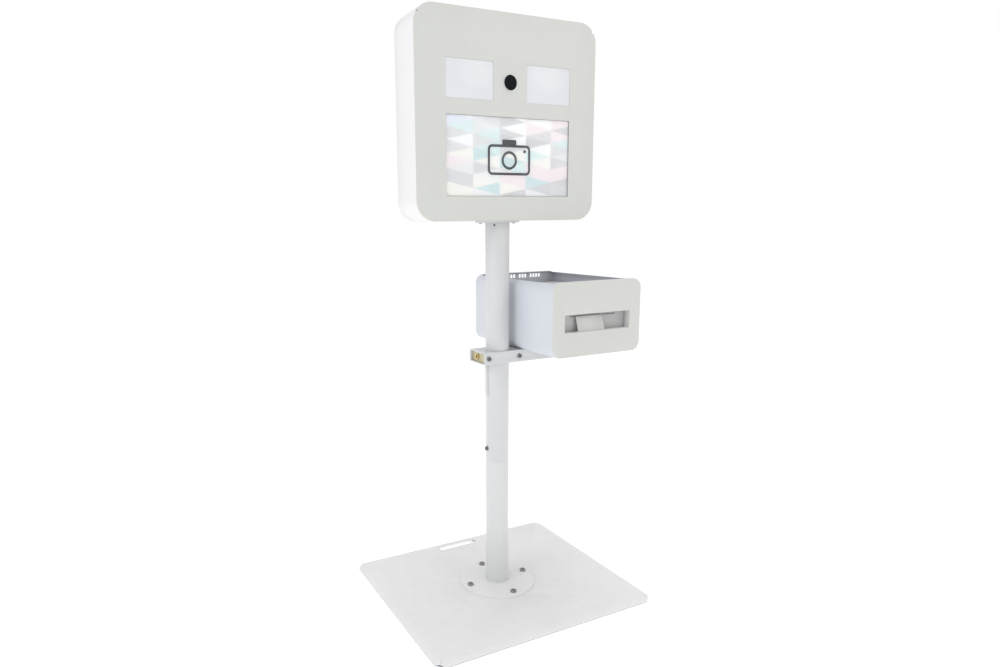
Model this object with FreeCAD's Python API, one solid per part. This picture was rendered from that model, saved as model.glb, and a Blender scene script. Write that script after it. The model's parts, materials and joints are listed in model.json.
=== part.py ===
import FreeCAD, Part
import math
import os

# Photo booth kiosk: weighted floor plate, two-piece round post, printer box on a clamp, touch-screen head.
# Millimetres. X to the right, Y to the back, Z up. Sizes are measured from the post's axis, and
# everything is moved at the end so that the origin is the floor plate's centre, on the floor.

# Floor plate
base_width = 725.0
base_depth = 618.0
base_centre_x = 0.0
base_centre_y = 0.0
pad_height = 2.0
pad_radius = 25.0
ballast_thickness = 6.0
cover_sheet = 3.0
ramp_width = 20.0
ramp_foot_gap = 1.5
corner_cut = 24.0
ramp_joint_gap = 1.0
ballast_margin = 4.0
handle_width = 148.0
handle_depth = 27.0
handle_from_back = 37.5

# Post
post_radius = 35.0
post_wall = 2.5
post_seam_z = 413.0
post_overlap = 200.0
slip = 0.05
flange_radius = 117.0
flange_thickness = 6.0
flange_bolt_circle = 192.0
bolt_radius = 5.0
bolt_head_radius = 9.0
bolt_head_height = 5.5
bolt_socket_size = 6.0
lock_screw_z = 451.0
lock_screw_radius = 6.5
socket_size = 5.0
grub_radius = 3.0
grub_below_top = 7.0

# Clamp that carries the printer box
clamp_height = 36.0
clamp_sheet = 3.0
clamp_left = 67.0
clamp_front = 40.0
clamp_back = 44.0
clamp_bolt_x = 52.4
clamp_bolt_radius = 4.0
clamp_fit = 0.3
rear_bar_thickness = 6.0
jaw_inset = 6.0
jaw_gap = 16.0
insert_y = 12.0
insert_radius = 8.0
insert_hole_radius = 4.0
stop_strip_length = 107.0
stop_strip_width = 12.0
stop_strip_proud = 4.0

# Printer and its box
box_bottom = 754.7
box_gap_to_post = 12.3
box_front_y = -214.5
printer_width = 270.0
printer_depth = 366.0
printer_height = 168.0
printer_side_clearance = 4.5
printer_foot = 5.0
box_lip = 14.0
box_sheet = 2.0
box_front_sheet = 3.0
box_headroom = 34.7
box_rear_space = 37.5
box_corner_radius = 27.0
box_edge_radius = 2.0
slot_width = 228.0
slot_height = 50.0
slot_above_bottom = 69.3
duct_depth = 20.0
duct_sheet = 1.5
tongue_width = 92.0
tongue_rise = 42.0
tongue_run = 15.0
tongue_offset = -18.0
vent_width = 8.0
vent_height = 12.0
vent_pitch = 11.0
vent_below_top = 5.0
vent_places = 18
vent_bars = (4, 9, 13)
cable_opening_width = 80.0
cable_opening_bottom = 25.0
cable_opening_top = 70.0
cable_opening_corner = 8.0
bracket_size = 16.0
bracket_sheet = 1.5
bracket_above_bottom = 45.0
bracket_below_top = 60.0

# Printer mechanism
hood_wall = 3.0
front_cover_thickness = 5.0
side_plate_thickness = 3.0
side_plate_spacing = 172.0
mouth_width = 160.0
mouth_height = 8.0
mouth_below_slot_top = 6.0
drive_roller_radius = 8.0
pinch_roller_radius = 6.0
paper_roll_radius = 55.0
paper_width = 152.0
spool_radius = 14.0
takeup_share = 0.7
roller_overhang = 4.0
nip_from_front = 40.0
takeup_from_front = 72.0
supply_from_front = 112.0
paper_from_front = 190.0
paper_lift = 5.0
spool_headroom = 10.0
shaft_radius = 4.0
nip_gap = 0.3
button_radius = 4.0
button_travel = 1.5
button_from_side = 23.0
button_below_top = 22.0
status_from_side = 39.0
status_width = 36.0
status_height = 16.0
status_below_top = 14.0
printer_foot_radius = 9.0
printer_foot_inset = 25.0
hood_corner = 6.0
hood_vents = 8
hood_vent_length = 100.0
side_plate_start = 15.0
side_plate_end = 260.0
gear_width = 6.0
gear_tooth_height = 4.0

# Head
head_bottom = 1133.0
head_width = 572.0
head_height = 546.0
head_front_y = -68.0
head_depth = 126.7
head_corner_radius = 54.0
head_sheet = 2.0
front_sheet = 3.0
front_lip = 12.0
rear_lip_side = 44.0
rear_lip_top = 40.0
rear_lip_bottom = 78.0
notch_size = 7.0
notch_angle = 36.0
screen_width = 396.0
screen_height = 212.0
screen_above_bottom = 172.0
glass_margin = 8.0
glass_thickness = 3.0
display_thickness = 14.0
window_width = 145.0
window_height = 100.0
window_above_bottom = 368.5
lens_radius = 22.5
mount_plate_width = 97.0
mount_plate_thickness = 5.0
mount_plate_front = 46.0
mount_plate_back = 50.0
mount_screw_inset = 13.0
mount_screw_radius = 3.0
mount_screw_front = 32.0
mount_screw_back = 36.0
socket_length = 50.0
chassis_y = 15.0
carrier_x = 120.0
carrier_half_width = 15.0
carrier_half_height = 80.0
stud_radius = 2.0
stud_length = 9.0
board_gap = 18.0
board_thickness = 2.0
chip_size = 5.0
chip_columns = 6
chip_rows = 4
rear_opening_corner = 12.0

# Rear door
door_sheet = 2.0
door_gap = 0.2
door_overlap = 10.0
hinge_pin_radius = 2.0
hinge_knuckle_radius = 4.0
hinge_leaf_width = 20.0
hinge_leaf_sheet = 1.5
hinge_knuckle_length = 20.0
hinge_knuckle_gap = 0.4
hinge_from_end = 30.0
fan_size = 80.0
fan_depth = 20.0
fan_below_top = 136.0
fan_hub_radius = 14.0
fan_blades = 7
fan_blade_tilt = 35.0
fan_axle_radius = 1.5
fan_hole_radius = 3.0
fan_hole_pitch = 9.0
intake_slots = 17
intake_pitch = 12.0
intake_slot_width = 4.0
intake_above_bottom = 25.0
intake_slot_height = 40.0
door_corner_radius = 18.0
lock_radius = 9.5
lock_from_side = 26.0
plug_radius = 6.0
cam_length = 24.0

# Camera
camera_pivot_y = -15.0
camera_half_width = 32.0
camera_half_height = 22.0
camera_half_depth = 18.0
yoke_sheet = 3.0
pivot_pin_radius = 3.0
barrel_radius = 14.0
barrel_length = 23.0

# Power inlet and switch
inlet_width = 48.0
inlet_height = 28.0
inlet_above_bottom = 24.0
inlet_depth = 20.0
socket_width = 24.0
socket_depth = 14.0
pin_pitch = 7.0
rocker_tilt = 8.0
rocker_width = 11.0
rocker_height = 18.0
rocker_radius = 5.0

# Computer and power supply
unit_depth = 30.0
computer_left = -170.0
computer_right = -20.0
computer_height = 150.0
supply_left = 30.0
supply_right = 190.0
supply_height = 100.0

# Worked out from the sizes above
ballast_top = pad_height + ballast_thickness
base_top = ballast_top + cover_sheet
flange_top = base_top + flange_thickness
post_inner = post_radius - post_wall
post_top = head_bottom - mount_plate_thickness
base_left = base_centre_x - base_width / 2
base_right = base_centre_x + base_width / 2
base_front = base_centre_y - base_depth / 2
base_back = base_centre_y + base_depth / 2
handle_x = base_centre_x
handle_y = base_back - handle_from_back
clamp_top = box_bottom
clamp_bottom = clamp_top - clamp_height
box_width = printer_width + 2 * (printer_side_clearance + box_lip)
box_height = box_sheet + printer_foot + printer_height + box_headroom
box_left = post_radius + box_gap_to_post
box_right = box_left + box_width
box_x = (box_left + box_right) / 2
box_top = box_bottom + box_height
sleeve_front = box_front_y + box_front_sheet
duct_back = sleeve_front + duct_depth
printer_front = duct_back + duct_sheet
printer_back = printer_front + printer_depth
box_back = printer_back + box_rear_space
printer_bottom = box_bottom + box_sheet + printer_foot
printer_top = printer_bottom + printer_height
slot_bottom = box_bottom + slot_above_bottom
slot_top = slot_bottom + slot_height
mouth_z = slot_top - mouth_below_slot_top
tray_top = printer_bottom + box_sheet
head_top = head_bottom + head_height
head_mid_z = head_bottom + head_height / 2
panel_back = head_front_y + front_sheet
shell_back = head_front_y + head_depth - door_sheet - door_gap
door_inner = shell_back + door_gap
door_outer = door_inner + door_sheet
door_half = head_width / 2 - rear_lip_side + door_overlap
door_bottom = head_bottom + rear_lip_bottom - door_overlap
door_top = head_top - rear_lip_top + door_overlap
screen_z = head_bottom + screen_above_bottom
window_z = head_bottom + window_above_bottom
window_x = (screen_width - window_width) / 2
hinge_x = -door_half - hinge_knuckle_radius - 1.0
hinge_y = shell_back + hinge_knuckle_radius + door_gap
fan_z = head_top - fan_below_top
lock_x = door_half - lock_from_side
chassis_bottom = head_bottom + head_corner_radius
chassis_top = head_top - head_corner_radius


def block(x, y, z):
    """Box between low and high values on each axis."""
    corner = FreeCAD.Vector(x[0], y[0], z[0])
    return Part.makeBox(x[1] - x[0], y[1] - y[0], z[1] - z[0], corner)


def rod(radius, axis, place, span):
    """Cylinder along one axis; place holds its other two coordinates in x, y, z order."""
    starts = {
        "x": (FreeCAD.Vector(span[0], place[0], place[1]), FreeCAD.Vector(1, 0, 0)),
        "y": (FreeCAD.Vector(place[0], span[0], place[1]), FreeCAD.Vector(0, 1, 0)),
        "z": (FreeCAD.Vector(place[0], place[1], span[0]), FreeCAD.Vector(0, 0, 1)),
    }
    start, direction = starts[axis]
    return Part.makeCylinder(radius, span[1] - span[0], start, direction)


def tube(outer, inner, axis, place, span):
    """Round tube along one axis."""
    return rod(outer, axis, place, span).cut(rod(inner, axis, place, span))


def edges_along(shape, direction):
    """Straight edges that run along a direction."""
    found = []
    for edge in shape.Edges:
        step = edge.Vertexes[-1].Point.sub(edge.Vertexes[0].Point)
        if step.Length > 0 and abs(abs(step.normalize().dot(direction)) - 1) < 1e-6:
            found.append(edge)
    return found


def rounded(x, y, z, radius):
    """Box whose four edges along Y are rounded."""
    plain = block(x, y, z)
    return plain.makeFillet(radius, edges_along(plain, FreeCAD.Vector(0, 1, 0)))


def slot_hole(x, y, length, depth, span):
    """Upright round-ended prism for a slot, long along X."""
    plain = block((x - length / 2, x + length / 2), (y - depth / 2, y + depth / 2), span)
    return plain.makeFillet(depth / 2 - 0.01, edges_along(plain, FreeCAD.Vector(0, 0, 1)))


def hexagon(across, axis, place, span):
    """Hexagonal prism along one axis, given by its size across flats."""
    corner = across / math.sqrt(3)
    points = []
    for step in range(7):
        angle = math.radians(60 * step)
        u = place[0] + corner * math.cos(angle)
        v = place[1] + corner * math.sin(angle)
        spots = {"x": (span[0], u, v), "y": (u, span[0], v), "z": (u, v, span[0])}
        points.append(FreeCAD.Vector(*spots[axis]))
    ways = {"x": (1, 0, 0), "y": (0, 1, 0), "z": (0, 0, 1)}
    length = span[1] - span[0]
    face = Part.Face(Part.makePolygon(points))
    return face.extrude(FreeCAD.Vector(*ways[axis]).multiply(length))


def prism(points, way):
    """Solid made by pushing a closed outline of points along a vector."""
    corners = [FreeCAD.Vector(*point) for point in points]
    return Part.Face(Part.makePolygon(corners + corners[:1])).extrude(FreeCAD.Vector(*way))


def fuse(shapes):
    """One solid from pieces that touch."""
    return shapes[0].multiFuse(shapes[1:]).removeSplitter()


def cut_all(shape, tools):
    """Shape with every tool taken away."""
    return shape.cut(Part.makeCompound(tools))


# Floor plate


def flange_bolt_places():
    """Four bolt places on the flange's bolt circle."""
    reach = flange_bolt_circle / 2
    return [(reach, 0.0), (0.0, reach), (-reach, 0.0), (0.0, -reach)]


def handle_hole(clearance):
    """Tool for the carrying slot near the back edge."""
    grow = 2 * clearance
    return slot_hole(handle_x, handle_y, handle_width + grow, handle_depth + grow, (0, base_top + 1))


def front_ramp(length, depth):
    """Sloping edge along the front of a plate that is centred on the origin."""
    outer = -depth / 2
    fold = outer + ramp_width
    foot = ramp_foot_gap
    side = [
        (-length / 2, fold, base_top),
        (-length / 2, outer, foot + cover_sheet),
        (-length / 2, outer, foot),
        (-length / 2, fold, base_top - cover_sheet),
    ]
    strip = prism(side, (length, 0, 0))
    half = length / 2
    plan = [
        (-half + corner_cut, outer, 0),
        (half - corner_cut, outer, 0),
        (half - corner_cut / 2 - ramp_joint_gap, outer + corner_cut / 2, 0),
        (half - ramp_width - ramp_joint_gap, fold, 0),
        (-half + ramp_width + ramp_joint_gap, fold, 0),
        (-half + corner_cut / 2 + ramp_joint_gap, outer + corner_cut / 2, 0),
    ]
    return strip.common(prism(plan, (0, 0, base_top)))


def base_cover():
    """Folded sheet top of the floor plate with four sloping edges."""
    pieces = [
        block(
            (ramp_width - base_width / 2, base_width / 2 - ramp_width),
            (ramp_width - base_depth / 2, base_depth / 2 - ramp_width),
            (ballast_top, base_top),
        )
    ]
    up = FreeCAD.Vector(0, 0, 1)
    for quarter in range(4):
        sizes = (base_width, base_depth) if quarter % 2 == 0 else (base_depth, base_width)
        ramp = front_ramp(*sizes)
        ramp.rotate(FreeCAD.Vector(0, 0, 0), up, 90 * quarter)
        pieces.append(ramp)
    cover = fuse(pieces)
    cover.translate(FreeCAD.Vector(base_centre_x, base_centre_y, 0))
    holes = [handle_hole(0)]
    for x, y in flange_bolt_places():
        holes.append(rod(bolt_radius + slip, "z", (x, y), (0, base_top + 1)))
    return cut_all(cover, holes)


def base_ballast():
    """Steel weight plate under the cover."""
    inset = ramp_width + ballast_margin
    plate = block(
        (base_left + inset, base_right - inset),
        (base_front + inset, base_back - inset),
        (pad_height, ballast_top),
    )
    holes = [handle_hole(1.0)]
    for x, y in flange_bolt_places():
        holes.append(rod(bolt_radius + slip, "z", (x, y), (0, base_top)))
    return cut_all(plate, holes)


def base_pads():
    """Rubber pads that the weight plate stands on."""
    reach_x = base_width / 2 - ramp_width - ballast_margin - 2 * pad_radius
    reach_y = base_depth / 2 - ramp_width - ballast_margin - 2 * pad_radius
    pads = []
    for side_x in (-1, 0, 1):
        for side_y in (-1, 1):
            place = (base_centre_x + side_x * reach_x, base_centre_y + side_y * reach_y)
            if side_x == 0 and side_y == 1:
                place = (place[0], handle_y - handle_depth / 2 - 2 * pad_radius)
            pads.append(rod(pad_radius, "z", place, (0, pad_height)))
    return Part.makeCompound(pads)


# Post


def post_flange():
    """Round foot of the lower post."""
    disc = rod(flange_radius, "z", (0, 0), (base_top, flange_top))
    rim = [edge for edge in disc.Edges if abs(edge.BoundBox.ZMin - flange_top) < 0.01]
    disc = disc.makeChamfer(1.0, rim)
    holes = [rod(post_inner, "z", (0, 0), (0, flange_top + 1))]
    for x, y in flange_bolt_places():
        holes.append(rod(bolt_radius + slip, "z", (x, y), (0, flange_top + 1)))
    return cut_all(disc, holes)


def flange_bolts():
    """Four socket bolts through the flange into the weight plate."""
    bolts = []
    for x, y in flange_bolt_places():
        head = rod(bolt_head_radius, "z", (x, y), (flange_top, flange_top + bolt_head_height))
        rim = [edge for edge in head.Edges if edge.BoundBox.ZMin > flange_top + 1]
        head = head.makeFillet(1.5, [edge for edge in rim if edge.Closed][:1])
        span = (flange_top + 2.0, flange_top + bolt_head_height + 1)
        socket = hexagon(bolt_socket_size, "z", (x, y), span)
        shank = rod(bolt_radius, "z", (x, y), (pad_height + 0.5, flange_top))
        bolts.append(fuse([head.cut(socket), shank]))
    return Part.makeCompound(bolts)


def lower_post():
    """Lower post tube, welded to the flange."""
    return tube(post_radius, post_inner, "z", (0, 0), (flange_top, post_seam_z))


def post_spigot():
    """Inner tube that joins the two posts."""
    outer = post_inner - slip
    span = (post_seam_z - post_overlap, post_seam_z + post_overlap)
    return tube(outer, outer - post_wall, "z", (0, 0), span)


def upper_post():
    """Upper post tube, from the seam up to the head's mounting plate."""
    post = tube(post_radius, post_inner, "z", (0, 0), (post_seam_z, post_top))
    lock_hole = rod(clamp_bolt_radius + slip, "x", (0, lock_screw_z), (-post_radius - 1, 0))
    grub_hole = head_grub(0.05, 0.0)
    return cut_all(post, [lock_hole, grub_hole])


def head_grub(clearance, proud):
    """Small screw near the post's top, on its front left."""
    direction = FreeCAD.Vector(-1, -1, 0).normalize()
    start = FreeCAD.Vector(direction).multiply(post_inner)
    start.z = post_top - grub_below_top
    return Part.makeCylinder(grub_radius + clearance, post_wall + proud + clearance, start, direction)


def post_lock_screws():
    """Screw that locks the two posts together, and the grub screw under the head."""
    shank = rod(clamp_bolt_radius, "x", (0, lock_screw_z), (-post_radius - 1, -post_inner))
    head = rod(lock_screw_radius, "x", (0, lock_screw_z), (-post_radius - 5.0, -post_radius - 0.5))
    socket = hexagon(socket_size, "x", (0, lock_screw_z), (-post_radius - 6.0, -post_radius - 2.5))
    return Part.makeCompound([fuse([head, shank]).cut(socket), head_grub(0.0, 0.6)])


# Clamp


def stop_strip():
    """Strip on the post's left side that the clamp stands on, with a slanted lower end."""
    reach = post_radius + stop_strip_proud
    low = clamp_bottom - stop_strip_length
    half = stop_strip_width / 2
    outline = [
        (-reach, -half, clamp_bottom),
        (-reach, -half, low + 2 * stop_strip_proud),
        (1 - post_radius, -half, low),
        (1 - post_radius, -half, clamp_bottom),
    ]
    bar = prism(outline, (0, stop_strip_width, 0))
    return bar.cut(rod(post_radius, "z", (0, 0), (low - 1, clamp_bottom + 1)))


def post_passage():
    """Tool for the round hole that the post passes through."""
    return rod(post_radius + clamp_fit, "z", (0, 0), (clamp_bottom - 1, clamp_top + 1))


def clamp_bolt_holes(y):
    """Tools for the two clamp bolts over a span of depth."""
    centre_z = (clamp_bottom + clamp_top) / 2
    radius = clamp_bolt_radius + slip
    return [rod(radius, "y", (side * clamp_bolt_x, centre_z), y) for side in (-1, 1)]


def clamp_channel():
    """C-shaped channel around the post that runs on under the printer box."""
    outer = block((-clamp_left, box_right - box_corner_radius), (-clamp_front, clamp_back),
                  (clamp_bottom, clamp_top))
    outer = outer.makeFillet(1.5, edges_along(outer, FreeCAD.Vector(1, 0, 0))[:4])
    inner = block(
        (-clamp_left - 1, box_right),
        (-clamp_front + clamp_sheet, clamp_back + 1),
        (clamp_bottom + clamp_sheet, clamp_top - clamp_sheet),
    )
    holes = clamp_bolt_holes((-clamp_front - 1, 0))
    return cut_all(outer, [inner, post_passage()] + holes)


def clamp_jaws():
    """Two blocks inside the channel that grip the post from both sides."""
    jaws = []
    height = (clamp_bottom + clamp_sheet, clamp_top - clamp_sheet)
    depth = (-clamp_front + clamp_sheet, clamp_back)
    far = clamp_left - jaw_inset
    for side in (-1, 1):
        x = sorted((side * far, side * jaw_gap / 2))
        jaw = block(x, depth, height)
        jaws.append(cut_all(jaw, [post_passage(), insert_tool(slip)] + clamp_bolt_holes(depth)))
    return Part.makeCompound(jaws)


def insert_tool(clearance):
    """Round outline of the threaded insert in the left jaw's end."""
    centre_z = (clamp_bottom + clamp_top) / 2
    x = (-clamp_left + jaw_inset / 2, -clamp_bolt_x - clamp_bolt_radius - 1.0 + clearance)
    return rod(insert_radius + clearance, "x", (insert_y, centre_z), x)


def clamp_insert():
    """Threaded insert with a through hole."""
    centre_z = (clamp_bottom + clamp_top) / 2
    hole = rod(insert_hole_radius, "x", (insert_y, centre_z), (-clamp_left - 1, 0))
    return insert_tool(0.0).cut(hole)


def clamp_rear_bar():
    """Bar that closes the channel behind the post and takes the bolts' threads."""
    bar = block((-clamp_left, clamp_left), (clamp_back, clamp_back + rear_bar_thickness),
                (clamp_bottom, clamp_top))
    return cut_all(bar, clamp_bolt_holes((clamp_back - 1, clamp_back + rear_bar_thickness + 1)))


def clamp_bolts():
    """Two socket-head bolts that pull the clamp together."""
    centre_z = (clamp_bottom + clamp_top) / 2
    bolts = []
    for side in (-1, 1):
        place = (side * clamp_bolt_x, centre_z)
        head = rod(1.6 * clamp_bolt_radius, "y", place, (-clamp_front - 4.0, -clamp_front))
        socket = hexagon(socket_size, "y", place, (-clamp_front - 5.0, -clamp_front - 1.5))
        shank = rod(clamp_bolt_radius, "y", place, (-clamp_front, clamp_back + rear_bar_thickness))
        bolts.append(fuse([head.cut(socket), shank]))
    return Part.makeCompound(bolts)


# Printer box


def box_outline(y, inset, radius):
    """Rounded outline of the box, drawn in by an inset, over a span of depth."""
    return rounded((box_left + inset, box_right - inset), y,
                   (box_bottom + inset, box_top - inset), radius)


def box_sleeve():
    """Wrapped sheet of the box: bottom, sides and rolled top lips, open above the printer."""
    y = (sleeve_front, box_back)
    outer = box_outline(y, 0.0, box_corner_radius)
    inner = box_outline((y[0] - 1, y[1] + 1), box_sheet, box_corner_radius - box_sheet)
    mouth = block(
        (box_left + box_lip, box_right - box_lip),
        (sleeve_front + box_lip, box_back - box_lip),
        (box_top - box_corner_radius, box_top + 1),
    )
    return cut_all(outer, [inner, mouth])


def print_slot(y):
    """Tool for the wide slot in the box's front."""
    half = slot_width / 2
    return rounded((box_x - half, box_x + half), y, (slot_bottom, slot_top), 3.0)


def box_front_plate():
    """Front plate of the box with the print slot."""
    plate = box_outline((box_front_y, sleeve_front), 0.0, box_corner_radius)
    rim = []
    for edge in plate.Edges:
        if edge.BoundBox.YMax < box_front_y + 0.01:
            rim.append(edge)
    plate = plate.makeFillet(box_edge_radius, rim)
    return plate.cut(print_slot((box_front_y - 1, sleeve_front + 1)))


def box_back_panel():
    """Back panel inside the sleeve, with vent windows near its top and a cable opening."""
    y = (box_back - box_sheet, box_back)
    panel = box_outline(y, box_sheet, box_corner_radius - box_sheet)
    tool_y = (y[0] - 1, y[1] + 1)
    tools = []
    top = box_top - box_sheet - vent_below_top
    for column in range(vent_places):
        if column in vent_bars:
            continue
        left = box_x + (column - vent_places / 2) * vent_pitch
        tools.append(block((left, left + vent_width), tool_y, (top - vent_height, top)))
    half = cable_opening_width / 2
    z = (box_bottom + cable_opening_bottom, box_bottom + cable_opening_top)
    tools.append(rounded((box_x - half, box_x + half), tool_y, z, cable_opening_corner))
    return cut_all(panel, tools)


def box_corner_brackets():
    """Small angles that hold the front plate and the back panel to the sleeve."""
    brackets = []
    size = bracket_size
    for y, way in ((sleeve_front, 1), (box_back - box_sheet, -1)):
        for side in (-1, 1):
            wall = box_x + side * (box_width / 2 - box_sheet)
            for z in (box_bottom + bracket_above_bottom, box_top - bracket_below_top):
                leg_x = sorted((wall, wall - side * bracket_sheet))
                face_x = sorted((wall, wall - side * min(size, box_lip - 1)))
                leg = block(leg_x, sorted((y, y + way * size)), (z, z + size))
                face = block(face_x, sorted((y, y + way * bracket_sheet)), (z, z + size))
                brackets.append(fuse([leg, face]))
    return Part.makeCompound(brackets)


def exit_duct():
    """Short duct between the slot and the printer's face."""
    half = slot_width / 2
    grow = duct_sheet
    outer = block((box_x - half - grow, box_x + half + grow), (sleeve_front, duct_back),
                  (slot_bottom - grow, slot_top + grow))
    inner = block((box_x - half, box_x + half), (sleeve_front - 1, duct_back + 1),
                  (slot_bottom, slot_top))
    return outer.cut(inner)


def print_tongue():
    """Bent sheet that guides a print forward out of the slot."""
    left = box_x + tongue_offset - tongue_width / 2
    foot_y = sleeve_front + 1.0
    thick = duct_sheet
    outline = [
        (left, foot_y, slot_bottom),
        (left, foot_y + tongue_run, slot_bottom + tongue_rise),
        (left, foot_y + tongue_run + thick, slot_bottom + tongue_rise),
        (left, foot_y + 2 * thick, slot_bottom + 2 * thick),
        (left, foot_y + tongue_run, slot_bottom + thick),
        (left, foot_y + tongue_run, slot_bottom),
    ]
    return prism(outline, (tongue_width, 0, 0))


# Printer


def from_printer(x, y, z):
    """Spans measured from the printer's middle, front face and floor."""
    return (
        (box_x + x[0], box_x + x[1]),
        (printer_front + y[0], printer_front + y[1]),
        (printer_bottom + z[0], printer_bottom + z[1]),
    )


def printer_base():
    """Floor tray of the printer."""
    half = printer_width / 2
    return block(*from_printer((-half, half), (0, printer_depth), (0, box_sheet)))


def printer_feet():
    """Four rubber feet under the printer."""
    feet = []
    for side in (-1, 1):
        for y in (printer_front + printer_foot_inset, printer_back - printer_foot_inset):
            place = (box_x + side * (printer_width / 2 - printer_foot_inset), y)
            span = (printer_bottom - printer_foot, printer_bottom)
            feet.append(rod(printer_foot_radius, "z", place, span))
    return Part.makeCompound(feet)


def printer_cover():
    """Hood over the printer: top, sides and back."""
    half = printer_width / 2
    wall = hood_wall
    outer = block(*from_printer((-half, half), (front_cover_thickness, printer_depth),
                                (box_sheet, printer_height)))
    upper = [edge for edge in edges_along(outer, FreeCAD.Vector(0, 1, 0))
             if edge.BoundBox.ZMin > printer_top - 1]
    outer = outer.makeFillet(hood_corner, upper)
    inner = block(*from_printer((wall - half, half - wall), (0, printer_depth - wall),
                                (0, printer_height - wall)))
    vents = []
    reach = hood_vent_length / 2
    for step in range(hood_vents):
        y = printer_front + printer_depth * 0.55 + step * vent_width * 1.5
        vents.append(block((box_x - reach, box_x + reach), (y, y + vent_width / 2),
                           (printer_top - wall - 1, printer_top + 1)))
    return cut_all(outer, [inner] + vents)


def printer_front_cover():
    """Front cover of the printer with the mouth that prints leave by."""
    half = printer_width / 2
    plate = block(*from_printer((-half, half), (0, front_cover_thickness),
                                (box_sheet, printer_height)))
    y = (printer_front - 1, printer_front + front_cover_thickness + 1)
    mouth = block((box_x - mouth_width / 2, box_x + mouth_width / 2), y,
                  (mouth_z - mouth_height / 2, mouth_z + mouth_height / 2))
    window = block(*status_window_span(slip))
    button = rod(button_radius + slip, "y", button_place(), y)
    return cut_all(plate, [mouth, window, button])


def status_window_span(clearance):
    """Spans of the small status window."""
    right = box_x + printer_width / 2 - status_from_side
    top = printer_top - status_below_top
    return (
        (right - status_width - clearance, right + clearance),
        (printer_front - clearance, printer_front + 2.0 + clearance),
        (top - status_height - clearance, top + clearance),
    )


def printer_status_window():
    """Small clear window over the printer's status lights."""
    return block(*status_window_span(0.0))


def button_place():
    """Where the printer's power button sits, across and up."""
    return (box_x + printer_width / 2 - button_from_side, printer_top - button_below_top)


def printer_power_button():
    """Push button with a retaining rim behind the front cover."""
    inner_face = printer_front + front_cover_thickness
    cap = rod(button_radius, "y", button_place(), (printer_front - button_travel - 0.5, inner_face))
    rim = rod(button_radius + 1.5, "y", button_place(), (inner_face, inner_face + 1.5))
    return fuse([cap, rim])


def roller_places():
    """Depth from the printer's front and height of each shaft."""
    nip = nip_gap / 2
    spool_z = printer_top - hood_wall - spool_headroom - spool_radius
    return {
        "drive": (nip_from_front, mouth_z - drive_roller_radius - nip),
        "pinch": (nip_from_front, mouth_z + pinch_roller_radius + nip),
        "paper": (paper_from_front, tray_top + paper_lift + paper_roll_radius),
        "supply": (supply_from_front, spool_z),
        "takeup": (takeup_from_front, spool_z),
    }


def printer_side_plates():
    """Two upright plates that carry every roller and spool."""
    plates = []
    for side in (-1, 1):
        inner = box_x + side * side_plate_spacing / 2
        x = sorted((inner, inner + side * side_plate_thickness))
        plate = block(x, (printer_front + side_plate_start, printer_front + side_plate_end),
                      (tray_top, printer_top - hood_wall - 2.0))
        holes = []
        for depth, z in roller_places().values():
            place = (printer_front + depth, z)
            holes.append(rod(shaft_radius + slip, "x", place, (x[0] - 1, x[1] + 1)))
        plates.append(cut_all(plate, holes))
    return Part.makeCompound(plates)


def turning_piece(name, radius, width):
    """Roller or roll with a shaft that runs in both side plates."""
    depth, z = roller_places()[name]
    place = (printer_front + depth, z)
    reach = side_plate_spacing / 2 + side_plate_thickness + 1.0
    body = rod(radius, "x", place, (box_x - width / 2, box_x + width / 2))
    shaft = rod(shaft_radius, "x", place, (box_x - reach, box_x + reach))
    return fuse([body, shaft])


def drive_roller():
    """Driven feed roller with a gear at its end."""
    roller = turning_piece("drive", drive_roller_radius, paper_width + roller_overhang)
    depth, z = roller_places()["drive"]
    reach = side_plate_spacing / 2 + side_plate_thickness
    gear = rod(drive_roller_radius + gear_tooth_height, "x", (printer_front + depth, z),
               (box_x + reach + 1.0, box_x + reach + 1.0 + gear_width))
    return fuse([roller, gear])


def pinch_roller():
    """Idle roller that presses the paper on the driven one."""
    return turning_piece("pinch", pinch_roller_radius, paper_width + roller_overhang)


def paper_roll():
    """Roll of photo paper on its spindle."""
    return turning_piece("paper", paper_roll_radius, paper_width)


def ribbon_supply_spool():
    """Spool that the dye ribbon comes from."""
    return turning_piece("supply", spool_radius, paper_width)


def ribbon_takeup_spool():
    """Spool that winds up the used ribbon."""
    return turning_piece("takeup", spool_radius * takeup_share, paper_width)


# Head


def head_outline(y, inset):
    """Rounded outline of the head, drawn in by an inset, over a span of depth."""
    half = head_width / 2 - inset
    radius = head_corner_radius - inset
    return rounded((-half, half), y, (head_bottom + inset, head_top - inset), radius)


def corner_notches(y):
    """Tools for the small notches in the head's two upper corners."""
    angle = math.radians(notch_angle)
    tools = []
    for side in (-1, 1):
        x = side * (head_width / 2 - head_corner_radius * (1 - math.cos(angle)))
        z = head_top - head_corner_radius * (1 - math.sin(angle))
        tools.append(block((x - notch_size / 2, x + notch_size / 2), y,
                           (z - notch_size / 2, z + notch_size / 2)))
    return tools


def stud_places():
    """Where the front panel is held to the shell's front lip, across and up."""
    half = head_width / 2 - front_lip / 2 - 1.0
    low = head_bottom + front_lip / 2 + 1.0
    high = head_top - front_lip / 2 - 1.0
    places = []
    for x in (-half, half):
        for share in (0.25, 0.5, 0.75):
            places.append((x, head_bottom + share * head_height))
    for x in (-head_width / 4, head_width / 4):
        places.append((x, low))
        places.append((x, high))
    return places


def window_tool(x, y, clearance):
    """Tool or plug for a light window."""
    half = window_width / 2 + clearance
    rise = window_height / 2 + clearance
    return block((x - half, x + half), y, (window_z - rise, window_z + rise))


def screen_tool(y, grow):
    """Tool or plug for the screen opening."""
    half = screen_width / 2 + grow
    rise = screen_height / 2 + grow
    return block((-half, half), y, (screen_z - rise, screen_z + rise))


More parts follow.
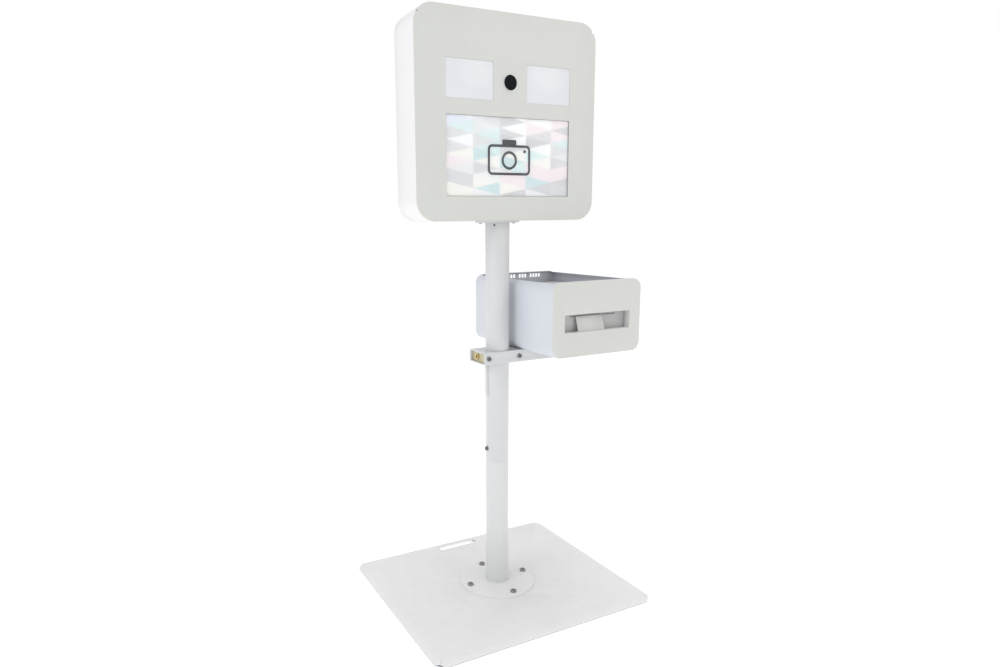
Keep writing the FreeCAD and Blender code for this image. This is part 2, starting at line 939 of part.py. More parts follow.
def head_front_panel():
    """Front panel with openings for the lights, the lens and the screen, and studs behind."""
    panel = head_outline((head_front_y, panel_back), 0.0)
    through = (head_front_y - 1, panel_back + 1)
    tools = corner_notches(through)
    tools.append(screen_tool(through, 0.0))
    tools.append(rod(lens_radius + slip, "y", (0, window_z), through))
    for side in (-1, 1):
        tools.append(window_tool(side * window_x, through, 0.0))
    span = (panel_back, panel_back + stud_length)
    studs = [rod(stud_radius, "y", place, span) for place in stud_places()]
    return fuse([cut_all(panel, tools)] + studs)


def front_panel_nuts():
    """Nuts that hold the front panel's studs to the shell."""
    nuts = []
    inner = panel_back + head_sheet
    for place in stud_places():
        nut = hexagon(7.0, "y", place, (inner, inner + 3.0))
        nuts.append(nut.cut(rod(stud_radius + slip, "y", place, (inner - 1, inner + 4.0))))
    return Part.makeCompound(nuts)


def inlet_span(clearance):
    """Opening for the power inlet and switch in the rear lip, across and up."""
    low = head_bottom + inlet_above_bottom
    x = (-inlet_width / 2 - clearance, inlet_width / 2 + clearance)
    z = (low - clearance, low + inlet_height + clearance)
    return x, z


def mount_screw_places():
    """Four screws between the mounting plate and the head."""
    reach = mount_plate_width / 2 - mount_screw_inset
    return [(x, y) for y in (-mount_screw_front, mount_screw_back) for x in (-reach, reach)]


def head_shell():
    """Wrapped sheet of the head with a narrow front lip and a wide rear lip."""
    y = (panel_back, shell_back)
    outer = head_outline(y, 0.0)
    inner = head_outline((y[0] + head_sheet, y[1] - head_sheet), head_sheet)
    half = head_width / 2 - rear_lip_side
    rear = rounded((-half, half), (y[1] - head_sheet - 1, y[1] + 1),
                   (head_bottom + rear_lip_bottom, head_top - rear_lip_top), rear_opening_corner)
    front = head_outline((y[0] - 1, y[0] + head_sheet + 1), front_lip)
    inlet_x, inlet_z = inlet_span(slip)
    inlet = block(inlet_x, (y[1] - head_sheet - 1, y[1] + 1), inlet_z)
    tools = [inner, rear, front, inlet]
    for place in stud_places():
        tools.append(rod(stud_radius + slip, "y", place, (y[0] - 1, y[0] + head_sheet + 1)))
    for place in mount_screw_places():
        span = (head_bottom - 1, head_bottom + head_sheet + 1)
        tools.append(rod(mount_screw_radius + slip, "z", place, span))
    tools.append(rod(post_inner - 8.0, "z", (0, 0), (head_bottom - 1, head_bottom + head_sheet + 1)))
    return cut_all(outer, tools + corner_notches((y[0] - 1, y[0] + notch_size)))


def head_mount_plate():
    """Plate under the head with a socket tube that enters the upper post."""
    half = mount_plate_width / 2
    plate = block((-half, half), (-mount_plate_front, mount_plate_back), (post_top, head_bottom))
    plate = plate.makeFillet(6.0, edges_along(plate, FreeCAD.Vector(0, 0, 1)))
    outer = post_inner - slip
    socket = rod(outer, "z", (0, 0), (post_top - socket_length, post_top))
    whole = fuse([plate, socket])
    span = (post_top - socket_length - 1, head_bottom + 1)
    tools = [rod(outer - post_wall, "z", (0, 0), span)]
    for place in mount_screw_places():
        tools.append(rod(mount_screw_radius + slip, "z", place, (post_top - 1, head_bottom + 1)))
    return cut_all(whole, tools)


def head_mount_screws():
    """Screws through the mounting plate into the head's floor, with nuts inside."""
    screws = []
    floor = head_bottom + head_sheet
    for place in mount_screw_places():
        head = rod(5.0, "z", place, (post_top - 3.0, post_top))
        shank = rod(mount_screw_radius, "z", place, (post_top, floor + 5.0))
        nut = hexagon(10.0, "z", place, (floor, floor + 4.0))
        screws.append(fuse([head, shank, nut]))
    return Part.makeCompound(screws)


def chassis_plate():
    """Upright plate across the head, with two box sections that carry the display."""
    half = head_width / 2 - head_sheet
    plate = block((-half, half), (chassis_y, chassis_y + head_sheet), (chassis_bottom, chassis_top))
    front = panel_back + glass_thickness + display_thickness
    pieces = [plate]
    for side in (-1, 1):
        x = (side * carrier_x - carrier_half_width, side * carrier_x + carrier_half_width)
        z = (screen_z - carrier_half_height, screen_z + carrier_half_height)
        outer = block(x, (front, chassis_y), z)
        inner = block((x[0] + head_sheet, x[1] - head_sheet),
                      (front + head_sheet, chassis_y), (z[0] - 1, z[1] + 1))
        pieces.append(outer.cut(inner))
    return fuse(pieces)


def touch_glass():
    """Touch glass behind the screen opening."""
    return screen_tool((panel_back, panel_back + glass_thickness), glass_margin)


def display_panel():
    """Display behind the touch glass."""
    front = panel_back + glass_thickness
    return screen_tool((front, front + display_thickness), glass_margin / 2)


def led_diffusers():
    """Opal covers of the two light windows, with a flange behind the panel."""
    covers = []
    for side in (-1, 1):
        face = window_tool(side * window_x, (head_front_y + 0.8, panel_back), -0.3)
        flange = window_tool(side * window_x, (panel_back, panel_back + 3.0), glass_margin)
        covers.append(fuse([face, flange]))
    return Part.makeCompound(covers)


def led_boards():
    """Light boards behind the covers, each on four spacers with rows of light chips."""
    boards = []
    back = panel_back + 3.0
    half = chip_size / 2
    for side in (-1, 1):
        x = side * window_x
        pieces = [window_tool(x, (back + board_gap, back + board_gap + board_thickness), glass_margin)]
        for column in range(chip_columns):
            for row in range(chip_rows):
                chip_x = x + (column - (chip_columns - 1) / 2) * window_width / chip_columns
                chip_z = window_z + (row - (chip_rows - 1) / 2) * window_height / chip_rows
                pieces.append(block((chip_x - half, chip_x + half),
                                    (back + board_gap - 1.0, back + board_gap),
                                    (chip_z - half, chip_z + half)))
        for end_x in (-1, 1):
            for end_z in (-1, 1):
                place = (x + end_x * (window_width + glass_margin) / 2,
                         window_z + end_z * (window_height + glass_margin) / 2)
                pieces.append(rod(3.0, "y", place, (back, back + board_gap)))
        boards.append(fuse(pieces))
    return Part.makeCompound(boards)


# Camera


def lens_ring():
    """Trim ring of the lens window."""
    y = (head_front_y - 1.0, panel_back + 3.5)
    collar = tube(lens_radius + 3.0, lens_radius - 2.0, "y", (0, window_z), (panel_back, y[1]))
    sleeve = tube(lens_radius, lens_radius - 2.0, "y", (0, window_z), y)
    return fuse([collar, sleeve])


def lens_glass():
    """Dark glass of the lens window."""
    radius = lens_radius - 2.0 - slip
    return rod(radius, "y", (0, window_z), (head_front_y + 0.5, head_front_y + 2.5))


def camera_yoke():
    """U-shaped holder on the chassis plate that the camera tilts in."""
    inner = camera_half_width + 1.0
    outer = inner + yoke_sheet
    back = block((-outer, outer), (chassis_y - yoke_sheet, chassis_y), (window_z - 20, window_z + 20))
    pieces = [back]
    for side in (-1, 1):
        x = sorted((side * inner, side * outer))
        ear = block(x, (camera_pivot_y - 10.0, chassis_y), (window_z - 13, window_z + 13))
        hole = rod(pivot_pin_radius + slip, "x", (camera_pivot_y, window_z), (x[0] - 1, x[1] + 1))
        pieces.append(ear.cut(hole))
    return fuse(pieces)


def camera_body():
    """Camera housing with two pivot pins."""
    half = camera_half_width
    body = block((-half, half), (camera_pivot_y - camera_half_depth, camera_pivot_y + camera_half_depth),
                 (window_z - camera_half_height, window_z + camera_half_height))
    body = body.makeFillet(3.0, edges_along(body, FreeCAD.Vector(0, 1, 0)))
    reach = half + 1.0 + yoke_sheet + 1.0
    pin = rod(pivot_pin_radius, "x", (camera_pivot_y, window_z), (-reach, reach))
    return fuse([body, pin])


def camera_lens():
    """Lens barrel with a hollow front."""
    back = camera_pivot_y - camera_half_depth
    front = back - barrel_length
    barrel = rod(barrel_radius, "y", (0, window_z), (front, back))
    hollow = Part.makeCone(11.0, 7.0, 6.0, FreeCAD.Vector(0, front, window_z), FreeCAD.Vector(0, 1, 0))
    return barrel.cut(hollow)


# Computer, power and fan


def mini_pc():
    """Small computer on the back of the chassis plate."""
    y = (chassis_y + head_sheet, chassis_y + head_sheet + unit_depth)
    rise = computer_height / 2
    body = block((computer_left, computer_right), y, (screen_z - rise, screen_z + rise))
    return body.makeFillet(4.0, edges_along(body, FreeCAD.Vector(0, 1, 0)))


def power_supply():
    """Caged power supply beside the computer."""
    y = (chassis_y + head_sheet, chassis_y + head_sheet + unit_depth)
    rise = supply_height / 2
    return block((supply_left, supply_right), y, (screen_z - rise, screen_z + rise))


def power_inlet():
    """Power inlet with a frame for the switch, snapped into the rear lip."""
    x, z = inlet_span(0.0)
    flange = block((x[0] - 3, x[1] + 3), (shell_back, shell_back + 2.0), (z[0] - 3, z[1] + 3))
    body = block(x, (shell_back - inlet_depth, shell_back), z)
    whole = fuse([flange, body])
    socket = block((x[0] + 3, x[0] + 3 + socket_width), (shell_back - socket_depth, shell_back + 3.0),
                   (z[0] + 5, z[1] - 5))
    pins = []
    for step in (-1, 0, 1):
        pin_x = x[0] + 3 + socket_width / 2 + pin_pitch * step
        pins.append(block((pin_x - 1, pin_x + 1), (shell_back - socket_depth, shell_back - 2.0),
                          (z[0] + 12, z[0] + 16)))
    pit = block(rocker_span(0.3)[0], (shell_back - 9.0, shell_back + 3.0), rocker_span(0.3)[1])
    return fuse([cut_all(whole, [socket, pit])] + pins)


def rocker_span(clearance):
    """Opening for the rocker in the inlet's frame, across and up."""
    inlet_x, inlet_z = inlet_span(0.0)
    right = inlet_x[1] - 4.0
    low = (inlet_z[0] + inlet_z[1] - rocker_height) / 2
    x = (right - rocker_width - clearance, right + clearance)
    z = (low - clearance, low + rocker_height + clearance)
    return x, z


def power_switch_rocker():
    """Rocker of the power switch, a segment about its own axis."""
    x, z = rocker_span(0.0)
    middle = (z[0] + z[1]) / 2
    pivot_y = shell_back - 2.0
    round_part = rod(rocker_radius, "x", (pivot_y, middle), x)
    wings = prism(
        [
            (x[0], pivot_y - 1.0, middle - 4.0),
            (x[0], pivot_y + 4.0, middle - 8.0),
            (x[0], pivot_y + 3.0, middle),
            (x[0], pivot_y + 4.0, middle + 8.0),
            (x[0], pivot_y - 1.0, middle + 4.0),
        ],
        (x[1] - x[0], 0, 0),
    )
    rocker = fuse([round_part, wings])
    rocker.rotate(FreeCAD.Vector(0, pivot_y, middle), FreeCAD.Vector(1, 0, 0), -rocker_tilt)
    return rocker


def fan_frame():
    """Square fan frame on the door's inside, with a spoked hub carrier."""
    y = (door_inner - fan_depth, door_inner)
    half = fan_size / 2
    frame = rounded((-half, half), y, (fan_z - half, fan_z + half), 4.0)
    bore = rod(half - 2.5, "y", (0, fan_z), (y[0] - 1, y[1] + 1))
    carrier = rod(12.0, "y", (0, fan_z), (y[0], y[0] + 3.0))
    spoke_a = block((-half + 1, half - 1), (y[0], y[0] + 2.0), (fan_z - 2, fan_z + 2))
    spoke_b = block((-2, 2), (y[0], y[0] + 2.0), (fan_z - half + 1, fan_z + half - 1))
    axle = rod(fan_axle_radius, "y", (0, fan_z), (y[0], y[1] - 5.0))
    return fuse([frame.cut(bore), carrier, spoke_a, spoke_b, axle])


def fan_rotor():
    """Fan hub with seven slanted blades."""
    front = door_inner - fan_depth + 3.5
    back = door_inner - 3.0
    hub = rod(fan_hub_radius, "y", (0, fan_z), (front, back))
    tip = fan_size / 2 - 4.0
    pieces = [hub]
    for step in range(fan_blades):
        blade = block((10.0, tip), (front + 1.0, front + 2.5), (fan_z - 7.0, fan_z + 7.0))
        middle = FreeCAD.Vector(12.0, (front + back) / 2, fan_z)
        blade.translate(FreeCAD.Vector(0, (back - front) / 2 - 2.0, 0))
        blade.rotate(middle, FreeCAD.Vector(1, 0, 0), fan_blade_tilt)
        blade.rotate(FreeCAD.Vector(0, 0, fan_z), FreeCAD.Vector(0, 1, 0), 360.0 * step / fan_blades)
        pieces.append(blade)
    whole = fuse(pieces)
    whole = whole.common(rod(tip, "y", (0, fan_z), (front, back)))
    return whole.cut(rod(fan_axle_radius + slip, "y", (0, fan_z), (front - 1, back - 1.5)))


# Rear door


def rear_door():
    """Rear door with fan holes above and intake slots below."""
    door = rounded((-door_half, door_half), (door_inner, door_outer), (door_bottom, door_top),
                   door_corner_radius)
    tool_y = (door_inner - 1, door_outer + 1)
    tools = [rod(lock_radius + slip, "y", (lock_x, head_mid_z), tool_y)]
    pitch = fan_hole_pitch
    for column in range(-4, 5):
        for row in range(-4, 5):
            if math.hypot(column, row) * pitch <= fan_size / 2 - 4.0:
                tools.append(rod(fan_hole_radius, "y", (column * pitch, fan_z + row * pitch), tool_y))
    low = door_bottom + intake_above_bottom
    half = intake_slot_width / 2
    for step in range(intake_slots):
        x = (step - (intake_slots - 1) / 2) * intake_pitch
        tools.append(block((x - half, x + half), tool_y, (low, low + intake_slot_height)))
    return cut_all(door, tools)


def hinge_spans():
    """Low end of each of the two hinges."""
    length = 3 * hinge_knuckle_length + 2 * hinge_knuckle_gap
    return [door_bottom + hinge_from_end, door_top - hinge_from_end - length]


def knuckle(low):
    """One knuckle of a hinge, bored for the pin."""
    span = (low, low + hinge_knuckle_length)
    return tube(hinge_knuckle_radius, hinge_pin_radius + slip, "z", (hinge_x, hinge_y), span)


def hinge_frame_leaves():
    """Leaves on the shell, each with the outer two knuckles."""
    leaves = []
    step = hinge_knuckle_length + hinge_knuckle_gap
    for low in hinge_spans():
        high = low + 2 * step + hinge_knuckle_length
        leaf = block((hinge_x - hinge_leaf_width, hinge_x - 1.0),
                     (shell_back, shell_back + hinge_leaf_sheet), (low, high))
        bore = rod(hinge_knuckle_radius + 0.3, "z", (hinge_x, hinge_y),
                   (low + step - hinge_knuckle_gap, low + step + hinge_knuckle_length + hinge_knuckle_gap))
        hole = rod(hinge_pin_radius + slip, "z", (hinge_x, hinge_y), (low - 1, high + 1))
        solid = fuse([leaf.cut(bore), knuckle(low), knuckle(low + 2 * step)])
        leaves.append(solid.cut(hole))
    return Part.makeCompound(leaves)


def hinge_door_leaves():
    """Leaves on the door, each with the middle knuckle."""
    leaves = []
    step = hinge_knuckle_length + hinge_knuckle_gap
    for low in hinge_spans():
        span = (low + step, low + step + hinge_knuckle_length)
        leaf = block((hinge_x + 1.0, -door_half + hinge_leaf_width),
                     (door_outer, door_outer + hinge_leaf_sheet), span)
        hole = rod(hinge_pin_radius + slip, "z", (hinge_x, hinge_y), (low, span[1] + 1))
        leaves.append(fuse([leaf, knuckle(low + step)]).cut(hole))
    return Part.makeCompound(leaves)


def hinge_pins():
    """Pins of the two hinges."""
    pins = []
    length = 3 * hinge_knuckle_length + 2 * hinge_knuckle_gap
    for low in hinge_spans():
        pins.append(rod(hinge_pin_radius, "z", (hinge_x, hinge_y), (low, low + length)))
    return Part.makeCompound(pins)


def door_lock_housing():
    """Barrel of the door's cam lock."""
    place = (lock_x, head_mid_z)
    barrel = rod(lock_radius, "y", place, (door_inner - 12.0, door_outer))
    rim = rod(lock_radius + 2.0, "y", place, (door_outer, door_outer + 2.0))
    nut = rod(lock_radius + 3.0, "y", place, (door_inner - 4.0, door_inner))
    bore = rod(plug_radius + slip, "y", place, (door_inner - 13.0, door_outer + 3.0))
    return fuse([barrel, rim, nut]).cut(bore)


def door_lock_cam():
    """Lock plug with a keyway and a stepped cam that swings behind the rear lip."""
    place = (lock_x, head_mid_z)
    plug = rod(plug_radius, "y", place, (door_inner - 14.0, door_outer + 1.5))
    x = (lock_x - plug_radius, lock_x + plug_radius)
    cam_y = (door_inner - 14.5, door_inner - 12.5)
    tip_z = head_mid_z - cam_length
    cam = block(x, cam_y, (tip_z, head_mid_z + plug_radius))
    step = block(x, (cam_y[0], shell_back - head_sheet - 0.4), (tip_z, tip_z + 6.0))
    keyway = block((lock_x - 0.8, lock_x + 0.8), (door_outer - 6.0, door_outer + 2.0),
                   (head_mid_z - 3.0, head_mid_z + 3.0))
    return fuse([plug, cam, step]).cut(keyway)


makers = [
    base_cover, base_ballast, base_pads, post_flange, flange_bolts,
    lower_post, post_spigot, upper_post, post_lock_screws, stop_strip,
    head_mount_plate, head_mount_screws,
    clamp_channel, clamp_jaws, clamp_rear_bar, clamp_bolts, clamp_insert,
    box_sleeve, box_front_plate, box_back_panel, box_corner_brackets, exit_duct, print_tongue,
    printer_base, printer_feet, printer_cover, printer_front_cover, printer_side_plates,
    printer_status_window, printer_power_button,
    drive_roller, pinch_roller, paper_roll, ribbon_supply_spool, ribbon_takeup_spool,
    head_front_panel, front_panel_nuts, head_shell, chassis_plate,
    touch_glass, display_panel, led_diffusers, led_boards,
    lens_ring, lens_glass, camera_yoke, camera_body, camera_lens,
    mini_pc, power_supply, power_inlet, power_switch_rocker,
    rear_door, fan_frame, fan_rotor, hinge_frame_leaves, hinge_door_leaves, hinge_pins,
    door_lock_housing, door_lock_cam,
]

os.makedirs("parts", exist_ok=True)
for maker in makers:
    shape = maker()
    shape.translate(FreeCAD.Vector(-base_centre_x, -base_centre_y, 0))
    shape.exportStep("parts/" + maker.__name__ + ".step")
    box = shape.BoundBox
    print(maker.__name__, len(shape.Solids), shape.isValid(), round(shape.Volume),
          [round(value, 1) for value in (box.XMin, box.XMax, box.YMin, box.YMax, box.ZMin, box.ZMax)])
print(len(makers), "nodes")
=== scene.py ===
import json
import math
import random

import bpy
from mathutils import Matrix, Vector


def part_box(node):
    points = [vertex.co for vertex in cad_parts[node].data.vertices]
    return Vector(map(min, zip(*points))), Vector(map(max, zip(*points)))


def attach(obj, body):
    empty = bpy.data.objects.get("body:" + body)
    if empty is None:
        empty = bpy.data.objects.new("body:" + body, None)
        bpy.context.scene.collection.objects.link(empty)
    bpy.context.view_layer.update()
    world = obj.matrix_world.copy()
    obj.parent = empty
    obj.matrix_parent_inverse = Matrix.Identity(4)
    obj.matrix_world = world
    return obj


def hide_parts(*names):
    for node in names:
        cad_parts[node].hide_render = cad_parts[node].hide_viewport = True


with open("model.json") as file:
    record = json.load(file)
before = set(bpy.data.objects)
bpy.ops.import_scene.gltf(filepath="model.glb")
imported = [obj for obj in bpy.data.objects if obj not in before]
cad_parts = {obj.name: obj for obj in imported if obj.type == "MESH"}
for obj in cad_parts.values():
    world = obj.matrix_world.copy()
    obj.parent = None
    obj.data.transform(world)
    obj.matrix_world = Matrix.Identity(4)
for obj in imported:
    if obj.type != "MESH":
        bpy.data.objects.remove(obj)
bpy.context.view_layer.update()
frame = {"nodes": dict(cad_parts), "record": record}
bpy.ops.object.select_all(action="DESELECT")
mm = 0.001
postLow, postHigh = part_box("upper_post")
postX = (postLow[0] + postHigh[0]) / 2
postY = (postLow[1] + postHigh[1]) / 2
print("frame loaded:", len(frame["nodes"]), "nodes")


# camera and light
viewSettings = {
    "place": (-1.0457, -1.7294, 1.1258),
    "azimuth": 26.06,
    "downward": 10.07,
    "roll": -0.854,
    "lens": 24.613,
    "shiftX": 0.0628,
    "shiftY": 0.0122,
    "sensorWidth": 36,
    "farLimit": 200,
}


def addCamera():
    bpy.ops.object.camera_add(location=viewSettings["place"])
    camera = bpy.context.object
    turn = Matrix.Rotation(math.radians(-viewSettings["azimuth"]), 3, "Z")
    tip = Matrix.Rotation(math.radians(90 - viewSettings["downward"]), 3, "X")
    roll = Matrix.Rotation(math.radians(viewSettings["roll"]), 3, "Z")
    camera.rotation_euler = (turn @ tip @ roll).to_euler()
    camera.data.lens = viewSettings["lens"]
    camera.data.sensor_width = viewSettings["sensorWidth"]
    camera.data.shift_x = viewSettings["shiftX"]
    camera.data.shift_y = viewSettings["shiftY"]
    camera.data.clip_end = viewSettings["farLimit"]
    bpy.context.scene.camera = camera


lightSettings = {
    "world": 0.80,
    "worldColor": (0.985, 0.99, 1.0),
    "backdrop": (1.0, 1.0, 1.0),
    "softboxes": [  # place, aimed at, size, watts, color
        ((-3.4, -0.9, 2.6), (0.0, 0.0, 1.0), 2.4, 28.0, (0.90, 0.94, 1.0)),
        ((2.2, -3.0, 2.8), (0.1, 0.0, 1.0), 2.2, 15.0, (1.0, 0.98, 0.90)),
        ((0.9, 0.3, 4.2), (0.1, -0.1, 0.9), 2.0, 24.0, (1.0, 1.0, 1.0)),
    ],
}


def addLights():
    world = bpy.data.worlds.new("studioAir")
    bpy.context.scene.world = world
    world.use_nodes = True
    tree = world.node_tree
    air = tree.nodes["Background"]
    air.inputs["Color"].default_value = (*lightSettings["worldColor"], 1)
    air.inputs["Strength"].default_value = lightSettings["world"]
    backdrop = tree.nodes.new("ShaderNodeBackground")
    backdrop.inputs["Color"].default_value = (*lightSettings["backdrop"], 1)
    path = tree.nodes.new("ShaderNodeLightPath")
    mix = tree.nodes.new("ShaderNodeMixShader")
    tree.links.new(path.outputs["Is Camera Ray"], mix.inputs["Fac"])
    tree.links.new(air.outputs["Background"], mix.inputs[1])
    tree.links.new(backdrop.outputs["Background"], mix.inputs[2])
    tree.links.new(mix.outputs["Shader"], tree.nodes["World Output"].inputs["Surface"])
    for place, aim, size, watts, color in lightSettings["softboxes"]:
        bpy.ops.object.light_add(type="AREA", location=place)
        softbox = bpy.context.object
        softbox.rotation_euler = (Vector(aim) - Vector(place)).to_track_quat("-Z", "Y").to_euler()
        softbox.data.shape = "DISK"
        softbox.data.size = size
        softbox.data.energy = watts
        softbox.data.color = color


addCamera()
addLights()
bpy.context.scene.view_settings.view_transform = "Standard"
print("camera and lights placed")


# shared effects
effectLevels = {
    "peel": {"specksFiner": 3.7},
    "handling": {"wipesFiner": 9.0, "clouds": 0.7, "wipes": 0.3, "between": (0.38, 0.62)},
    "wearAndHighlight": {"edge": (0.62, 0.74), "breaks": (0.5, 0.7)},
    "dust": {"facing": (0.6, 1.0), "clumps": (0.4, 0.75)},
}


def newGroup(name, inputs, outputs):
    group = bpy.data.node_groups.new(name, "ShaderNodeTree")
    for label, value in inputs:
        kind = "NodeSocketColor" if isinstance(value, tuple) else "NodeSocketFloat"
        socket = group.interface.new_socket(label, in_out="INPUT", socket_type=kind)
        socket.default_value = value
    for label in outputs:
        group.interface.new_socket(label, in_out="OUTPUT", socket_type="NodeSocketFloat")
    return group, group.nodes.new("NodeGroupInput"), group.nodes.new("NodeGroupOutput")


def objectCoordinates(tree):
    return tree.nodes.new("ShaderNodeTexCoord").outputs["Object"]


def noiseNode(tree, vector, scale, detail=2.0, rough=0.5):
    noise = tree.nodes.new("ShaderNodeTexNoise")
    noise.inputs["Detail"].default_value = detail
    noise.inputs["Roughness"].default_value = rough
    tree.links.new(vector, noise.inputs["Vector"])
    if isinstance(scale, (int, float)):
        noise.inputs["Scale"].default_value = scale
    else:
        tree.links.new(scale, noise.inputs["Scale"])
    return noise.outputs["Fac"]


def mathNode(tree, operation, first, second):
    node = tree.nodes.new("ShaderNodeMath")
    node.operation = operation
    for socket, value in zip(node.inputs, (first, second)):
        if isinstance(value, (int, float)):
            socket.default_value = value
        else:
            tree.links.new(value, socket)
    return node.outputs[0]


def rangeNode(tree, value, low, high, toLow, toHigh):
    node = tree.nodes.new("ShaderNodeMapRange")
    for label, part in (("Value", value), ("From Min", low), ("From Max", high), ("To Min", toLow),
                        ("To Max", toHigh)):
        if isinstance(part, (int, float)):
            node.inputs[label].default_value = part
        else:
            tree.links.new(part, node.inputs[label])
    return node.outputs["Result"]


def peelGroup():  # the small waves and specks of a sprayed powder coat
    group, given, out = newGroup("powderPeel", [("Scale", 700.0), ("Specks", 0.25)], ["Height"])
    place = objectCoordinates(group)
    waves = noiseNode(group, place, given.outputs["Scale"], 2.0)
    finer = mathNode(group, "MULTIPLY", given.outputs["Scale"], effectLevels["peel"]["specksFiner"])
    specks = noiseNode(group, place, finer, 1.0)
    specks = mathNode(group, "MULTIPLY", specks, given.outputs["Specks"])
    group.links.new(mathNode(group, "ADD", waves, specks), out.inputs["Height"])
    return group


def brushGroup():  # fine parallel scratches along one way
    group, given, out = newGroup("brushedLines", [("Scale", 900.0), ("Stretch", 0.03)], ["Height"])
    place = objectCoordinates(group)
    squeeze = group.nodes.new("ShaderNodeCombineXYZ")
    group.links.new(given.outputs["Stretch"], squeeze.inputs["X"])
    squeeze.inputs["Y"].default_value = 1.0
    squeeze.inputs["Z"].default_value = 1.0
    scaled = group.nodes.new("ShaderNodeVectorMath")
    scaled.operation = "MULTIPLY"
    group.links.new(place, scaled.inputs[0])
    group.links.new(squeeze.outputs["Vector"], scaled.inputs[1])
    lines = noiseNode(group, scaled.outputs["Vector"], given.outputs["Scale"], 3.0, 0.7)
    group.links.new(lines, out.inputs["Height"])
    return group


def mouldGroup():  # the pebbled skin of a moulded plastic or rubber
    group, given, out = newGroup("mouldedSkin", [("Scale", 1400.0)], ["Height"])
    place = objectCoordinates(group)
    cells = group.nodes.new("ShaderNodeTexVoronoi")
    cells.feature = "SMOOTH_F1"
    group.links.new(place, cells.inputs["Vector"])
    group.links.new(given.outputs["Scale"], cells.inputs["Scale"])
    fine = noiseNode(group, place, given.outputs["Scale"], 2.0)
    group.links.new(mathNode(group, "ADD", cells.outputs["Distance"], fine), out.inputs["Height"])
    return group


def handlingGroup():  # faint cloudy marks left by hands and cleaning cloths
    group, given, out = newGroup("handlingMarks", [("Scale", 7.0), ("Low", 0.3), ("High", 0.5)],
                                 ["Roughness", "Mask"])
    levels = effectLevels["handling"]
    place = objectCoordinates(group)
    clouds = noiseNode(group, place, given.outputs["Scale"], 4.0, 0.6)
    wipeScale = mathNode(group, "MULTIPLY", given.outputs["Scale"], levels["wipesFiner"])
    wipes = noiseNode(group, place, wipeScale, 3.0, 0.6)
    mixed = mathNode(group, "ADD", mathNode(group, "MULTIPLY", clouds, levels["clouds"]),
                     mathNode(group, "MULTIPLY", wipes, levels["wipes"]))
    mask = rangeNode(group, mixed, *levels["between"], 0.0, 1.0)
    rough = rangeNode(group, mask, 0.0, 1.0, given.outputs["Low"], given.outputs["High"])
    group.links.new(rough, out.inputs["Roughness"])
    group.links.new(mask, out.inputs["Mask"])
    return group


def edgeWearAndHighlightGroup():  # outer edges, broken up by noise; the finish's edge colour makes them painted highlight or wear
    group, given, out = newGroup("edgeWearAndHighlight", [("Amount", 0.5), ("Break", 60.0)], ["Mask"])
    point = group.nodes.new("ShaderNodeNewGeometry").outputs["Pointiness"]
    edge = rangeNode(group, point, *effectLevels["wearAndHighlight"]["edge"], 0.0, 1.0)
    breaks = noiseNode(group, objectCoordinates(group), given.outputs["Break"], 4.0, 0.7)
    breaks = rangeNode(group, breaks, *effectLevels["wearAndHighlight"]["breaks"], 0.0, 1.0)
    worn = mathNode(group, "MULTIPLY", edge, breaks)
    group.links.new(mathNode(group, "MULTIPLY", worn, given.outputs["Amount"]), out.inputs["Mask"])
    return group


def dustGroup():  # thin dust that settles on faces that look up
    group, given, out = newGroup("settledDust", [("Amount", 0.1), ("Scale", 40.0)], ["Mask"])
    normal = group.nodes.new("ShaderNodeTexCoord").outputs["Normal"]
    parts = group.nodes.new("ShaderNodeSeparateXYZ")
    group.links.new(normal, parts.inputs["Vector"])
    facing = rangeNode(group, parts.outputs["Z"], *effectLevels["dust"]["facing"], 0.0, 1.0)
    clumps = noiseNode(group, objectCoordinates(group), given.outputs["Scale"], 5.0, 0.65)
    clumps = rangeNode(group, clumps, *effectLevels["dust"]["clumps"], 0.0, 1.0)
    lying = mathNode(group, "MULTIPLY", facing, clumps)
    group.links.new(mathNode(group, "MULTIPLY", lying, given.outputs["Amount"]), out.inputs["Mask"])
    return group


effects = {
    "peel": peelGroup(),
    "brushed": brushGroup(),
    "moulded": mouldGroup(),
    "handling": handlingGroup(),
    "wearAndHighlight": edgeWearAndHighlightGroup(),
    "dust": dustGroup(),
}
print("shared effects ready")


